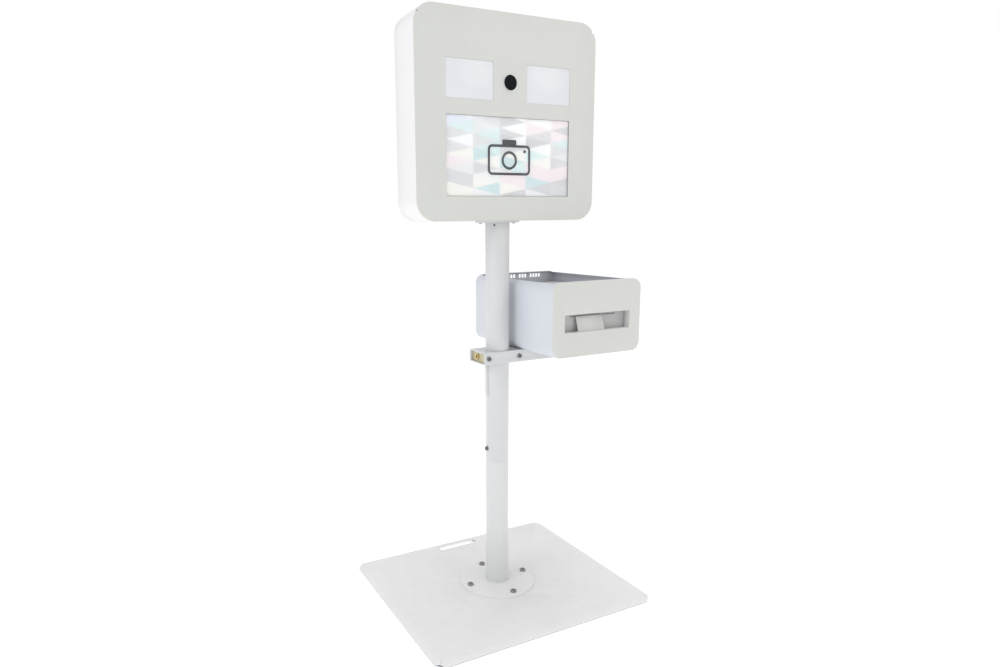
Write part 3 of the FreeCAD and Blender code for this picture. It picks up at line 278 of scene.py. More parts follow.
# finishes
finishes = {
    "headPowderCoat": {
        "color": (0.825, 0.81, 0.805), "tint": (0.81, 0.795, 0.79), "rough": (0.34, 0.44),
        "grain": "peel", "grainScale": 620, "grainDepth": 0.00004, "coat": 0.12,
        "wearAndHighlightColor": (0.95, 0.95, 0.95), "wearAndHighlight": 0.3, "dust": 0.12,
    },
    # painted shade: the head's white powder coat, darkened and cooled for the shaded post
    "postCoatPaintedShade": {
        "color": (0.655, 0.665, 0.665), "tint": (0.635, 0.645, 0.645), "rough": (0.32, 0.44),
        "grain": "peel", "grainScale": 620, "grainDepth": 0.00004, "coat": 0.12,
        "wearAndHighlightColor": (0.80, 0.80, 0.80), "wearAndHighlight": 0.35, "dust": 0.12,
    },
    # painted light: a lighter copy of the post's shaded coat, for the brighter foot near the floor;
    # the weld uses it too
    "footCoatPaintedLight": {
        "color": (0.70, 0.705, 0.70), "tint": (0.685, 0.69, 0.685), "rough": (0.32, 0.44),
        "grain": "peel", "grainScale": 620, "grainDepth": 0.00004, "coat": 0.12,
        "wearAndHighlightColor": (0.86, 0.86, 0.86), "wearAndHighlight": 0.35, "dust": 0.12,
    },
    # painted shade: the head's white powder coat, darkened and tinted blue for the printer box in
    # the shade of post and head
    "boxCoatPaintedShade": {
        "color": (0.64, 0.66, 0.705), "tint": (0.62, 0.64, 0.685), "rough": (0.34, 0.46),
        "grain": "peel", "grainScale": 620, "grainDepth": 0.00004, "coat": 0.10,
        "wearAndHighlightColor": (0.80, 0.80, 0.82), "wearAndHighlight": 0.3, "dust": 0.10,
    },
    "greyPowderCoat": {
        "color": (0.63, 0.637, 0.605), "tint": (0.617, 0.623, 0.592), "rough": (0.42, 0.54),
        "grain": "peel", "grainScale": 700, "grainDepth": 0.00004, "coat": 0.05,
        "wearAndHighlightColor": (0.78, 0.78, 0.77), "wearAndHighlight": 0.3, "dust": 0.08,
    },
    "floorPlateCoat": {
        "color": (0.815, 0.815, 0.80), "tint": (0.795, 0.795, 0.78), "rough": (0.45, 0.6),
        "grain": "peel", "grainScale": 420, "grainDepth": 0.00007, "coat": 0.0,
        "wearAndHighlightColor": (0.60, 0.60, 0.60), "wearAndHighlight": 0.6, "dust": 0.12,
    },
    "millSteel": {
        "color": (0.52, 0.52, 0.53), "tint": (0.40, 0.40, 0.41),
        "rough": (0.32, 0.5), "metal": 1.0,
        "grain": "brushed", "grainScale": 800, "grainDepth": 0.00003,
    },
    "zincPlate": {
        "color": (0.62, 0.63, 0.65), "tint": (0.52, 0.54, 0.57),
        "rough": (0.28, 0.44), "metal": 1.0,
        "grain": "moulded", "grainScale": 350, "grainDepth": 0.00002,
    },
    "satinZinc": {
        "color": (0.74, 0.745, 0.74), "tint": (0.68, 0.685, 0.68),
        "rough": (0.5, 0.64), "metal": 0.25,
        "grain": "moulded", "grainScale": 420, "grainDepth": 0.00002,
    },
    "yellowZinc": {
        "color": (0.62, 0.55, 0.34), "tint": (0.54, 0.50, 0.36),
        "rough": (0.34, 0.5), "metal": 0.7,
        "grain": "brushed", "grainScale": 420, "grainDepth": 0.00003,
    },
    "blackOxide": {
        "color": (0.20, 0.20, 0.205), "tint": (0.14, 0.14, 0.145),
        "rough": (0.34, 0.5), "metal": 0.6,
        "grain": "moulded", "grainScale": 1200, "grainDepth": 0.00002,
        "wearAndHighlightColor": (0.42, 0.42, 0.43), "wearAndHighlight": 0.7,
    },
    "greyBolt": {
        "color": (0.30, 0.30, 0.31), "tint": (0.24, 0.24, 0.25),
        "rough": (0.34, 0.5), "metal": 0.5,
        "grain": "moulded", "grainScale": 1200, "grainDepth": 0.00002,
        "wearAndHighlightColor": (0.46, 0.46, 0.47), "wearAndHighlight": 0.7,
    },
    "polishedLock": {
        "color": (0.72, 0.72, 0.73), "tint": (0.66, 0.66, 0.67),
        "rough": (0.10, 0.22), "metal": 1.0,
        "grain": "brushed", "grainScale": 1500, "grainDepth": 0.00001,
    },
    "sawnAluminium": {
        "color": (0.50, 0.51, 0.52), "tint": (0.43, 0.44, 0.45),
        "rough": (0.38, 0.52), "metal": 0.85,
        "grain": "brushed", "grainScale": 500, "grainDepth": 0.00006,
    },
    "anodisedRing": {
        "color": (0.60, 0.61, 0.60), "tint": (0.55, 0.56, 0.55), "rough": (0.3, 0.4), "metal": 0.5,
        "grain": "moulded", "grainScale": 2200, "grainDepth": 0.00001,
    },
    "turnedBrass": {
        "color": (0.72, 0.56, 0.24), "tint": (0.60, 0.45, 0.18),
        "rough": (0.24, 0.38), "metal": 1.0,
        "grain": "brushed", "grainScale": 1200, "grainDepth": 0.00002,
    },
    "padRubber": {
        "color": (0.022, 0.022, 0.023), "tint": (0.035, 0.035, 0.034), "rough": (0.7, 0.9),
        "grain": "moulded", "grainScale": 900, "grainDepth": 0.00012,
    },
    "glossGuide": {
        "color": (0.57, 0.575, 0.555), "tint": (0.55, 0.555, 0.54),
        "rough": (0.2, 0.3), "coat": 0.2,
        "grain": "moulded", "grainScale": 260, "grainDepth": 0.00001,
    },
    "printerShell": {
        "color": (0.52, 0.515, 0.51), "tint": (0.48, 0.475, 0.47), "rough": (0.48, 0.62),
        "grain": "moulded", "grainScale": 1500, "grainDepth": 0.00006,
        "wearAndHighlightColor": (0.56, 0.56, 0.57), "wearAndHighlight": 0.5, "dust": 0.2,
    },
    "paleButton": {
        "color": (0.78, 0.80, 0.83), "tint": (0.74, 0.76, 0.80), "rough": (0.25, 0.36),
        "grain": "moulded", "grainScale": 2500, "grainDepth": 0.00001,
    },
    "rolledPaper": {
        "color": (0.86, 0.86, 0.83), "tint": (0.80, 0.79, 0.75), "rough": (0.5, 0.7),
        "grain": "peel", "grainScale": 1800, "grainDepth": 0.00003,
    },
    "ribbonFilm": {
        "color": (0.10, 0.07, 0.14), "tint": (0.16, 0.09, 0.13),
        "rough": (0.12, 0.25), "coat": 0.5,
        "grain": "brushed", "grainScale": 700, "grainDepth": 0.00002,
    },
    "opalCover": {
        "color": (0.68, 0.685, 0.715), "tint": (0.665, 0.67, 0.70), "rough": (0.18, 0.26),
        "grain": "moulded", "grainScale": 1900, "grainDepth": 0.00002,
        "glow": (0.93, 0.95, 1.0), "glowStrength": 0.06,
    },
    "circuitBoard": {
        "color": (0.06, 0.22, 0.12), "tint": (0.09, 0.30, 0.16), "rough": (0.3, 0.45),
        "grain": "brushed", "grainScale": 300, "grainDepth": 0.00004,
    },
    "blackPlastic": {
        "color": (0.018, 0.018, 0.019), "tint": (0.028, 0.028, 0.030), "rough": (0.4, 0.58),
        "grain": "moulded", "grainScale": 1600, "grainDepth": 0.00006,
    },
    # painted shade: dark grey for the strips that stand in for shadow lines
    "paintedShadeGrey": {
        "color": (0.20, 0.20, 0.205), "tint": (0.24, 0.24, 0.24), "rough": (0.6, 0.75),
        "grain": "moulded", "grainScale": 900, "grainDepth": 0.00006,
    },
    "paleBristle": {
        "color": (0.50, 0.50, 0.50), "tint": (0.44, 0.44, 0.445), "rough": (0.6, 0.8),
        "grain": "brushed", "grainScale": 1400, "grainDepth": 0.00008,
    },
    "darkMesh": {
        "color": (0.05, 0.05, 0.055), "tint": (0.09, 0.09, 0.095), "rough": (0.7, 0.9),
        "grain": "moulded", "grainScale": 500, "grainDepth": 0.0004,
    },
}


def placeEffect(tree, name, **values):
    node = tree.nodes.new("ShaderNodeGroup")
    node.node_tree = effects[name]
    for label, value in values.items():
        node.inputs[label].default_value = value
    return node


def mixColors(tree, amount, first, second):
    mix = tree.nodes.new("ShaderNodeMix")
    mix.data_type = "RGBA"
    tree.links.new(amount, mix.inputs["Factor"])
    colorInputs = [socket for socket in mix.inputs if socket.type == "RGBA"]
    for socket, value in zip(colorInputs, (first, second)):
        if isinstance(value, tuple):
            socket.default_value = (*value, 1)
        else:
            tree.links.new(value, socket)
    return [socket for socket in mix.outputs if socket.type == "RGBA"][0]


finishShared = {
    "marksScale": 7.0, "glassMarksScale": 18.0, "coatRoughness": 0.2,
    "dustColor": (0.60, 0.59, 0.57),
}


def buildFinish(name, look):
    material = bpy.data.materials.new(name)
    material.use_nodes = True
    tree = material.node_tree
    shader = tree.nodes["Principled BSDF"]
    shader.inputs["Metallic"].default_value = look.get("metal", 0.0)
    shader.inputs["Coat Weight"].default_value = look.get("coat", 0.0)
    shader.inputs["Coat Roughness"].default_value = finishShared["coatRoughness"]
    marks = placeEffect(tree, "handling", Scale=finishShared["marksScale"], Low=look["rough"][0],
                        High=look["rough"][1])
    tree.links.new(marks.outputs["Roughness"], shader.inputs["Roughness"])
    color = mixColors(tree, marks.outputs["Mask"], look["color"], look["tint"])
    # edge colour: painted highlight on the pale coats and the printer shell, worn bare metal on the
    # dark screws, darker edges on the floor plate
    if "wearAndHighlight" in look:
        wearAndHighlight = placeEffect(tree, "wearAndHighlight", Amount=look["wearAndHighlight"])
        color = mixColors(tree, wearAndHighlight.outputs["Mask"], color, look["wearAndHighlightColor"])
    if "dust" in look:
        dust = placeEffect(tree, "dust", Amount=look["dust"])
        color = mixColors(tree, dust.outputs["Mask"], color, finishShared["dustColor"])
    tree.links.new(color, shader.inputs["Base Color"])
    if "glow" in look:
        shader.inputs["Emission Color"].default_value = (*look["glow"], 1)
        shader.inputs["Emission Strength"].default_value = look["glowStrength"]
    grain = placeEffect(tree, look["grain"], Scale=float(look["grainScale"]))
    bump = tree.nodes.new("ShaderNodeBump")
    bump.inputs["Distance"].default_value = look["grainDepth"]
    bump.inputs["Strength"].default_value = 1.0
    tree.links.new(grain.outputs["Height"], bump.inputs["Height"])
    tree.links.new(bump.outputs["Normal"], shader.inputs["Normal"])
    return material


glassLooks = {
    "clearGlass": {
        "color": (0.98, 0.99, 1.0), "rough": 0.0, "clear": 1.0, "smudge": 0.03, "ior": 1.45,
    },
    "darkGlass": {
        "color": (0.004, 0.006, 0.009), "rough": 0.02, "clear": 0.25, "smudge": 0.04, "ior": 1.15,
    },
}


def buildGlass(name, look):
    material = bpy.data.materials.new(name)
    material.use_nodes = True
    tree = material.node_tree
    shader = tree.nodes["Principled BSDF"]
    shader.inputs["Base Color"].default_value = (*look["color"], 1)
    shader.inputs["IOR"].default_value = look["ior"]
    shader.inputs["Transmission Weight"].default_value = look["clear"]
    marks = placeEffect(tree, "handling", Scale=finishShared["glassMarksScale"],
                        Low=look["rough"], High=look["rough"] + look["smudge"])
    tree.links.new(marks.outputs["Roughness"], shader.inputs["Roughness"])
    return material


materials = {name: buildFinish(name, look) for name, look in finishes.items()}
materials.update({name: buildGlass(name, look) for name, look in glassLooks.items()})

nodeFinish = {
    "headPowderCoat": ["head_shell", "rear_door"],
    "footCoatPaintedLight": ["lower_post"],
    "postCoatPaintedShade": ["upper_post", "stop_strip", "head_mount_plate", "clamp_channel",
                       "clamp_rear_bar"],
    "boxCoatPaintedShade": ["box_sleeve", "box_back_panel"],
    "greyPowderCoat": ["head_front_panel", "box_front_plate"],
    "floorPlateCoat": ["base_cover", "post_flange"],
    "millSteel": ["base_ballast", "post_spigot", "printer_side_plates"],
    "zincPlate": ["head_mount_screws", "box_corner_brackets", "front_panel_nuts", "chassis_plate",
                  "camera_yoke", "hinge_frame_leaves", "hinge_door_leaves", "hinge_pins",
                  "printer_base"],
    "satinZinc": ["exit_duct"],
    "yellowZinc": ["clamp_jaws"],
    "blackOxide": ["post_lock_screws", "clamp_bolts"],
    "greyBolt": ["flange_bolts"],
    "polishedLock": ["door_lock_housing", "door_lock_cam"],
    "sawnAluminium": ["power_supply"],
    "anodisedRing": ["lens_ring"],
    "turnedBrass": ["clamp_insert"],
    "padRubber": ["base_pads", "printer_feet", "drive_roller", "pinch_roller"],
    "glossGuide": ["print_tongue"],
    "printerShell": ["printer_cover", "printer_front_cover"],
    "paleButton": ["printer_power_button"],
    "rolledPaper": ["paper_roll"],
    "ribbonFilm": ["ribbon_supply_spool", "ribbon_takeup_spool"],
    "opalCover": ["led_diffusers"],
    "circuitBoard": ["led_boards"],
    "clearGlass": ["touch_glass", "printer_status_window"],
    "darkGlass": ["lens_glass"],
    "blackPlastic": ["display_panel", "camera_body", "camera_lens", "mini_pc", "power_inlet",
                     "power_switch_rocker", "fan_frame", "fan_rotor"],
}
finishOfNode = {node: name for name, nodes in nodeFinish.items() for node in nodes}
bodies = frame["record"]["behaviour"]["bodies"]
bodyOfNode = {node: body for body, nodes in bodies.items() for node in nodes}
for node, part in frame["nodes"].items():
    for holder in part.material_slots:
        holder.material = materials[finishOfNode[node]]
print("finishes on", len(finishOfNode), "nodes")


# modelling helpers
def activate(piece):
    if bpy.context.mode != "OBJECT":
        bpy.ops.object.mode_set(mode="OBJECT")
    bpy.ops.object.select_all(action="DESELECT")
    piece.select_set(True)
    bpy.context.view_layer.objects.active = piece


def startPiece(name):
    piece = bpy.context.object
    piece.name = name
    piece.data.name = name
    bpy.ops.object.transform_apply(location=True, rotation=True, scale=True)
    return piece


def editFaces(piece, rule):
    activate(piece)
    bpy.ops.object.mode_set(mode="EDIT")
    bpy.ops.mesh.select_mode(type="FACE")
    bpy.ops.mesh.select_all(action="DESELECT")
    bpy.ops.object.mode_set(mode="OBJECT")
    for face in piece.data.polygons:
        face.select = rule(face.center, face.normal)
    bpy.ops.object.mode_set(mode="EDIT")


def applyModifier(piece, kind, **values):
    activate(piece)
    modifier = piece.modifiers.new(kind.title(), kind)
    for label, value in values.items():
        setattr(modifier, label, value)
    bpy.ops.object.modifier_apply(modifier=modifier.name)


def softEdges(piece, width, segments=2, angle=35):
    applyModifier(piece, "BEVEL", width=width, segments=segments, limit_method="ANGLE",
                  angle_limit=math.radians(angle), use_clamp_overlap=True)


def finishPiece(piece, body, finish, angle=35):
    activate(piece)
    bpy.ops.object.shade_smooth_by_angle(angle=math.radians(angle))
    piece.data.materials.clear()
    piece.data.materials.append(materials[finish])
    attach(piece, body)
    bpy.ops.object.select_all(action="DESELECT")


def copyPiece(source, name, shift=(0, 0, 0)):  # the same shape again, with a mesh of its own
    piece = bpy.data.objects.new(name, source.data.copy())
    piece.data.name = name
    bpy.context.scene.collection.objects.link(piece)
    piece.data.transform(Matrix.Translation(shift))
    return piece


sourceMesh = {"merge": 0.00001, "flatAngle": 0.5}


def formedCopy(node, name, width):  # a node's shape with its bends and edges rounded
    piece = copyPiece(frame["nodes"][node], name)
    activate(piece)
    if piece.data.has_custom_normals:
        bpy.ops.mesh.customdata_custom_splitnormals_clear()
    bpy.ops.object.mode_set(mode="EDIT")
    bpy.ops.mesh.select_all(action="SELECT")
    bpy.ops.mesh.remove_doubles(threshold=sourceMesh["merge"])
    bpy.ops.mesh.dissolve_limited(angle_limit=math.radians(sourceMesh["flatAngle"]))
    bpy.ops.object.mode_set(mode="OBJECT")
    softEdges(piece, width)
    finishPiece(piece, bodyOfNode[node], finishOfNode[node])
    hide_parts(node)


# sheet parts with rounded bends
bends = {  # node, piece name, bend radius in millimetres
    "base_cover": ("floorPlateCover", 0.9),
    "head_front_panel": ("headFrontPanel", 0.5),
    "head_shell": ("headShell", 0.6),
    "rear_door": ("rearDoor", 0.5),
    "box_sleeve": ("printerBoxSleeve", 0.6),
    "exit_duct": ("printExitDuct", 0.4),
    "print_tongue": ("printGuideTongue", 0.35),
    "clamp_rear_bar": ("clampRearBar", 0.8),
    "clamp_jaws": ("clampJaws", 0.6),
    "clamp_channel": ("clampChannel", 0.8),
    "box_front_plate": ("printerBoxFront", 0.35),
    "stop_strip": ("clampStopStrip", 0.5),
    "head_mount_plate": ("headMountPlate", 0.6),
    "printer_cover": ("printerHood", 1.0),
    "printer_front_cover": ("printerFrontCover", 0.8),
    "led_diffusers": ("lightCovers", 0.4),
    "fan_frame": ("fanFrame", 0.5),
    "chassis_plate": ("chassisPlate", 0.4),
}
for node, (name, radius) in bends.items():
    formedCopy(node, name, radius * mm)
print("sheet parts formed:", len(bends))


# posts
postForm = {"sides": 128, "wall": 2.5, "edge": 0.6}


def roundPost(node, name):
    low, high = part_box(node)
    radius = (high[0] - low[0]) / 2
    bpy.ops.mesh.primitive_cylinder_add(
        vertices=postForm["sides"], radius=radius, depth=high[2] - low[2], end_fill_type="NOTHING",
        location=(postX, postY, (low[2] + high[2]) / 2))
    piece = startPiece(name)
    applyModifier(piece, "SOLIDIFY", thickness=postForm["wall"] * mm, offset=-1.0)
    softEdges(piece, postForm["edge"] * mm, 2, 60)
    finishPiece(piece, bodyOfNode[node], finishOfNode[node])
    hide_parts(node)


roundPost("lower_post", "lowerPostTube")
roundPost("upper_post", "upperPostTube")


# weld round the post's foot
weldForm = {
    "thickness": 2.6, "rings": 144, "around": 10, "unevenness": 0.35, "seed": 4, "smooth": 0.4,
}


def addWeld():
    bpy.ops.mesh.primitive_torus_add(
        major_radius=(postHigh[0] - postLow[0]) / 2, minor_radius=weldForm["thickness"] * mm,
        major_segments=weldForm["rings"], minor_segments=weldForm["around"],
        location=(postX, postY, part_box("post_flange")[1][2]))
    piece = startPiece("postFootWeld")
    activate(piece)
    bpy.ops.object.mode_set(mode="EDIT")
    bpy.ops.mesh.select_all(action="SELECT")
    bpy.ops.transform.vertex_random(offset=weldForm["unevenness"] * mm, seed=weldForm["seed"])
    bpy.ops.mesh.vertices_smooth(factor=weldForm["smooth"], repeat=1)
    bpy.ops.object.mode_set(mode="OBJECT")
    finishPiece(piece, "stand", "footCoatPaintedLight", 80)


addWeld()
print("posts and weld ready")

# painted shadow: a dark strip under the floor plate's rim
plateShadowForm = {"corner": 26.0, "inset": 0.5, "wide": 4.0, "low": 0.2, "high": 1.4}


def addPlateShadowStrip():  # dark strip in the gap under the floor plate's rim: painted contact shadow
    low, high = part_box("base_cover")
    middle = (plateShadowForm["low"] + plateShadowForm["high"]) * mm / 2
    thickness = (plateShadowForm["high"] - plateShadowForm["low"]) * mm
    bpy.ops.mesh.primitive_plane_add(
        size=1, location=((low[0] + high[0]) / 2, (low[1] + high[1]) / 2, middle))
    bpy.context.object.scale = (high[0] - low[0] - 2 * plateShadowForm["inset"] * mm,
                                high[1] - low[1] - 2 * plateShadowForm["inset"] * mm, 1)
    piece = startPiece("plateEdgePaintedShadow")
    activate(piece)
    bpy.ops.object.mode_set(mode="EDIT")
    bpy.ops.mesh.select_mode(type="VERT")
    bpy.ops.mesh.select_all(action="SELECT")
    bpy.ops.mesh.bevel(offset=plateShadowForm["corner"] * mm, segments=1, affect="VERTICES")
    bpy.ops.mesh.select_mode(type="FACE")
    bpy.ops.mesh.select_all(action="SELECT")
    bpy.ops.mesh.inset(thickness=plateShadowForm["wide"] * mm)
    bpy.ops.mesh.delete(type="FACE")
    bpy.ops.object.mode_set(mode="OBJECT")
    applyModifier(piece, "SOLIDIFY", thickness=thickness, offset=0.0)
    finishPiece(piece, "stand", "paintedShadeGrey")


addPlateShadowStrip()


# screen picture and symbol
screenLook = {
    "columns": 8, "step": 84.0, "across": -30.0, "rows": 10, "rise": 36.0, "up": 6.0, "lift": 0.3,
    "margin": 6.0, "thickness": 0.1, "repeat": 0.3, "seed": 31,
    "tints": [(0.90, 0.90, 0.90), (0.93, 0.93, 0.93), (0.84, 0.84, 0.85), (0.70, 0.70, 0.71),
              (0.66, 0.66, 0.675), (0.74, 0.74, 0.75), (0.63, 0.75, 0.76), (0.72, 0.83, 0.83),
              (0.86, 0.79, 0.81), (0.88, 0.87, 0.83), (0.79, 0.82, 0.89), (0.80, 0.80, 0.81)],
    "ink": (0.046, 0.049, 0.058),
}
glassLow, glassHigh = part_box("touch_glass")
screenX = (glassLow[0] + glassHigh[0]) / 2
screenZ = (glassLow[2] + glassHigh[2]) / 2
screenY = glassHigh[1] - screenLook["lift"] * mm


pictureGlow = {
    "noise": 14.0, "between": (0.3, 0.7), "lift": 0.06, "strength": 0.36, "rough": 0.5,
}


def litPicture(name):
    material = bpy.data.materials.new(name)
    material.use_nodes = True
    tree = material.node_tree
    shader = tree.nodes["Principled BSDF"]
    shader.inputs["Roughness"].default_value = pictureGlow["rough"]
    tint = tree.nodes.new("ShaderNodeAttribute")
    tint.attribute_name = "tint"
    glowNoise = noiseNode(tree, objectCoordinates(tree), pictureGlow["noise"], 2.0)
    lift = rangeNode(tree, glowNoise, *pictureGlow["between"], 0.0, pictureGlow["lift"])
    color = mixColors(tree, lift, tint.outputs["Color"], (1.0, 1.0, 1.0))
    tree.links.new(color, shader.inputs["Base Color"])
    tree.links.new(color, shader.inputs["Emission Color"])
    shader.inputs["Emission Strength"].default_value = pictureGlow["strength"]
    return material


materials["litPicture"] = litPicture("litPicture")


def paintTint(piece, colorOf):
    layer = piece.data.color_attributes.new("tint", "FLOAT_COLOR", "CORNER")
    for face in piece.data.polygons:
        color = colorOf(face)
        for corner in face.loop_indices:
            layer.data[corner].color = (*color, 1)


def addScreenPicture():
    width = glassHigh[0] - glassLow[0] - 2 * screenLook["margin"] * mm
    height = glassHigh[2] - glassLow[2] - 2 * screenLook["margin"] * mm
    step = screenLook["step"] * mm
    rise = screenLook["rise"] * mm
    bpy.ops.mesh.primitive_grid_add(
        x_subdivisions=screenLook["columns"], y_subdivisions=screenLook["rows"], size=1,
        location=(screenX + screenLook["across"] * mm, screenY, screenZ + screenLook["up"] * mm),
        rotation=(math.radians(90), 0, 0))
    bpy.context.object.scale = (step * screenLook["columns"], rise * screenLook["rows"], 1)
    piece = startPiece("screenPicture")
    left = screenX + screenLook["across"] * mm - step * screenLook["columns"] / 2
    activate(piece)
    bpy.ops.object.mode_set(mode="EDIT")
    bpy.ops.mesh.select_mode(type="VERT")
    bpy.ops.mesh.select_all(action="DESELECT")
    bpy.ops.object.mode_set(mode="OBJECT")
    for point in piece.data.vertices:
        point.select = round((point.co.x - left) / step) % 2 == 1
    bpy.ops.object.mode_set(mode="EDIT")
    bpy.ops.transform.translate(value=(0, 0, rise / 2))
    bpy.ops.mesh.select_all(action="SELECT")
    bpy.ops.mesh.quads_convert_to_tris(quad_method="SHORTEST_DIAGONAL")
    for side, half in ((Vector((1, 0, 0)), width / 2), (Vector((0, 0, 1)), height / 2)):
        for way in (-1, 1):
            edge = Vector((screenX, screenY, screenZ)) + side * way * half
            bpy.ops.mesh.select_all(action="SELECT")
            bpy.ops.mesh.bisect(plane_co=edge, plane_no=side * way, clear_outer=True)
    bpy.ops.object.mode_set(mode="OBJECT")
    draws = random.Random(screenLook["seed"])
    last = [screenLook["tints"][0]]

    def nextTint(face):  # now and then a triangle keeps its neighbour's tint
        if draws.random() > screenLook["repeat"]:
            last[0] = draws.choice(screenLook["tints"])
        return last[0]

    paintTint(piece, nextTint)
    applyModifier(piece, "SOLIDIFY", thickness=screenLook["thickness"] * mm, offset=-1.0)
    finishPiece(piece, "upper", "litPicture")


flatForm = {"thickness": 0.15, "cornerSteps": 12}


def flatRing(name, width, height, corner, line, place):  # no line: a filled plate
    bpy.ops.mesh.primitive_plane_add(size=1, location=place, rotation=(math.radians(90), 0, 0))
    bpy.context.object.scale = (width, height, 1)
    piece = startPiece(name)
    activate(piece)
    bpy.ops.object.mode_set(mode="EDIT")
    bpy.ops.mesh.select_mode(type="VERT")
    bpy.ops.mesh.select_all(action="SELECT")
    bpy.ops.mesh.bevel(offset=corner, segments=flatForm["cornerSteps"], affect="VERTICES")
    if line:
        bpy.ops.mesh.select_mode(type="FACE")
        bpy.ops.mesh.select_all(action="SELECT")
        bpy.ops.mesh.inset(thickness=line)
        bpy.ops.mesh.delete(type="FACE")
    bpy.ops.object.mode_set(mode="OBJECT")
    applyModifier(piece, "SOLIDIFY", thickness=flatForm["thickness"] * mm, offset=0.0)
    return piece


symbolForm = {  # a plain camera symbol, in millimetres from the screen's middle
    "Body": (138, 82, 14, 7.0, 0, -7), "Lens": (50, 50, 24.9, 7.0, 0, -8),
    "Top": (46, 15, 4, 0, 0, 40), "Flash": (9, 9, 4.4, 0, 50, 17),
}
symbolLift = 0.4


def addSymbol():
    for part, (width, height, corner, line, across, up) in symbolForm.items():
        place = (screenX + across * mm, screenY - symbolLift * mm, screenZ + up * mm)
        piece = flatRing("screenSymbol" + part, width * mm, height * mm, corner * mm, line * mm,
                         place)
        paintTint(piece, lambda face: screenLook["ink"])
        finishPiece(piece, "upper", "litPicture")


addScreenPicture()
addSymbol()
print("screen picture ready")


# grey frame round the screen: painted shade in the recess of the front panel's window
recessShadeForm = {"width": 395.8, "height": 211.8, "line": 0.7, "corner": 1.0, "depth": 1.2}


def addRecessShadeFrame():
    place = (screenX, glassLow[1] - recessShadeForm["depth"] * mm / 2, screenZ)
    piece = flatRing("screenRecessPaintedShade", recessShadeForm["width"] * mm, recessShadeForm["height"] * mm,
                     recessShadeForm["corner"] * mm, recessShadeForm["line"] * mm, place)
    activate(piece)
    bpy.ops.object.mode_set(mode="EDIT")
    bpy.ops.mesh.select_all(action="SELECT")
    stretch = recessShadeForm["depth"] / flatForm["thickness"]
    bpy.ops.transform.resize(value=(1, stretch, 1), center_override=place)
    bpy.ops.object.mode_set(mode="OBJECT")
    finishPiece(piece, "upper", "paintedShadeGrey")


addRecessShadeFrame()


# lens behind the window
lensForm = {
    "radius": 9.5, "bulge": 0.35, "depth": 5.5, "baffles": 3, "baffleRadius": 11.5,
    "baffleStep": 0.9, "baffleWire": 0.35, "baffleFirst": 0.8, "baffleSpacing": 1.3,
}
barrelLow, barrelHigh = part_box("camera_lens")
lensX = (barrelLow[0] + barrelHigh[0]) / 2
lensZ = (barrelLow[2] + barrelHigh[2]) / 2


def addLensElement():
    radius = lensForm["radius"] * mm
    depth = barrelLow[1] + lensForm["depth"] * mm
    facing = (math.radians(90), 0, 0)
    bpy.ops.mesh.primitive_uv_sphere_add(segments=48, ring_count=24, radius=radius,
                                         location=(lensX, depth, lensZ), rotation=facing)
    bpy.context.object.scale = (1, 1, lensForm["bulge"])
    piece = startPiece("cameraLensElement")
    finishPiece(piece, "camera", "darkGlass", 60)
    for ring in range(lensForm["baffles"]):
        bpy.ops.mesh.primitive_torus_add(
            major_radius=(lensForm["baffleRadius"] - lensForm["baffleStep"] * ring) * mm,
            minor_radius=lensForm["baffleWire"] * mm, major_segments=64, minor_segments=8,
            location=(lensX, barrelLow[1] + (lensForm["baffleFirst"]
                                             + lensForm["baffleSpacing"] * ring) * mm, lensZ),
            rotation=facing)
        baffle = startPiece("cameraLensBaffle" + str(ring + 1))
        finishPiece(baffle, "camera", "blackPlastic", 60)


addLensElement()


# brush that keeps dust out of the printer's mouth
brushForm = {
    "width": 156.0, "height": 6.4, "thickness": 0.8, "bristles": 52, "lean": 0.25, "seed": 7,
    "belowDuct": 3.3, "depth": 1.6,
}


def addMouthBrush():
    coverLow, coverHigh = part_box("printer_front_cover")
    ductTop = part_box("exit_duct")[1][2]
    place = ((coverLow[0] + coverHigh[0]) / 2, coverLow[1] + brushForm["depth"] * mm,
             ductTop - (brushForm["belowDuct"] + brushForm["height"] / 2) * mm)
    bpy.ops.mesh.primitive_grid_add(
        x_subdivisions=2 * brushForm["bristles"], y_subdivisions=4, size=1, location=place,
        rotation=(math.radians(90), 0, 0))
    bpy.context.object.scale = (brushForm["width"] * mm, brushForm["height"] * mm, 1)
    piece = startPiece("printerMouthBrush")
    activate(piece)
    bpy.ops.object.mode_set(mode="EDIT")
    bpy.ops.mesh.select_mode(type="VERT")
    bpy.ops.mesh.select_all(action="SELECT")
    bpy.ops.transform.vertex_random(offset=brushForm["lean"] * mm, seed=brushForm["seed"])
    bpy.ops.object.mode_set(mode="OBJECT")
    applyModifier(piece, "SOLIDIFY", thickness=brushForm["thickness"] * mm, offset=0.0)
    finishPiece(piece, "printer", "paleBristle", 20)


addMouthBrush()


# rear details
screwForm = {
    "head": 3.6, "height": 1.4, "socket": 1.7, "socketDepth": 0.9, "edge": 0.35,
    "leafSheet": 1.5, "fromEdge": 7.0,
    "upper": {"node": "hinge_frame_leaves", "tag": "Frame", "fromEnd": 10.0, "spacing": 41.0},
    "door": {"node": "hinge_door_leaves", "tag": "Door", "fromEnd": 6.0, "spacing": 8.5},
}


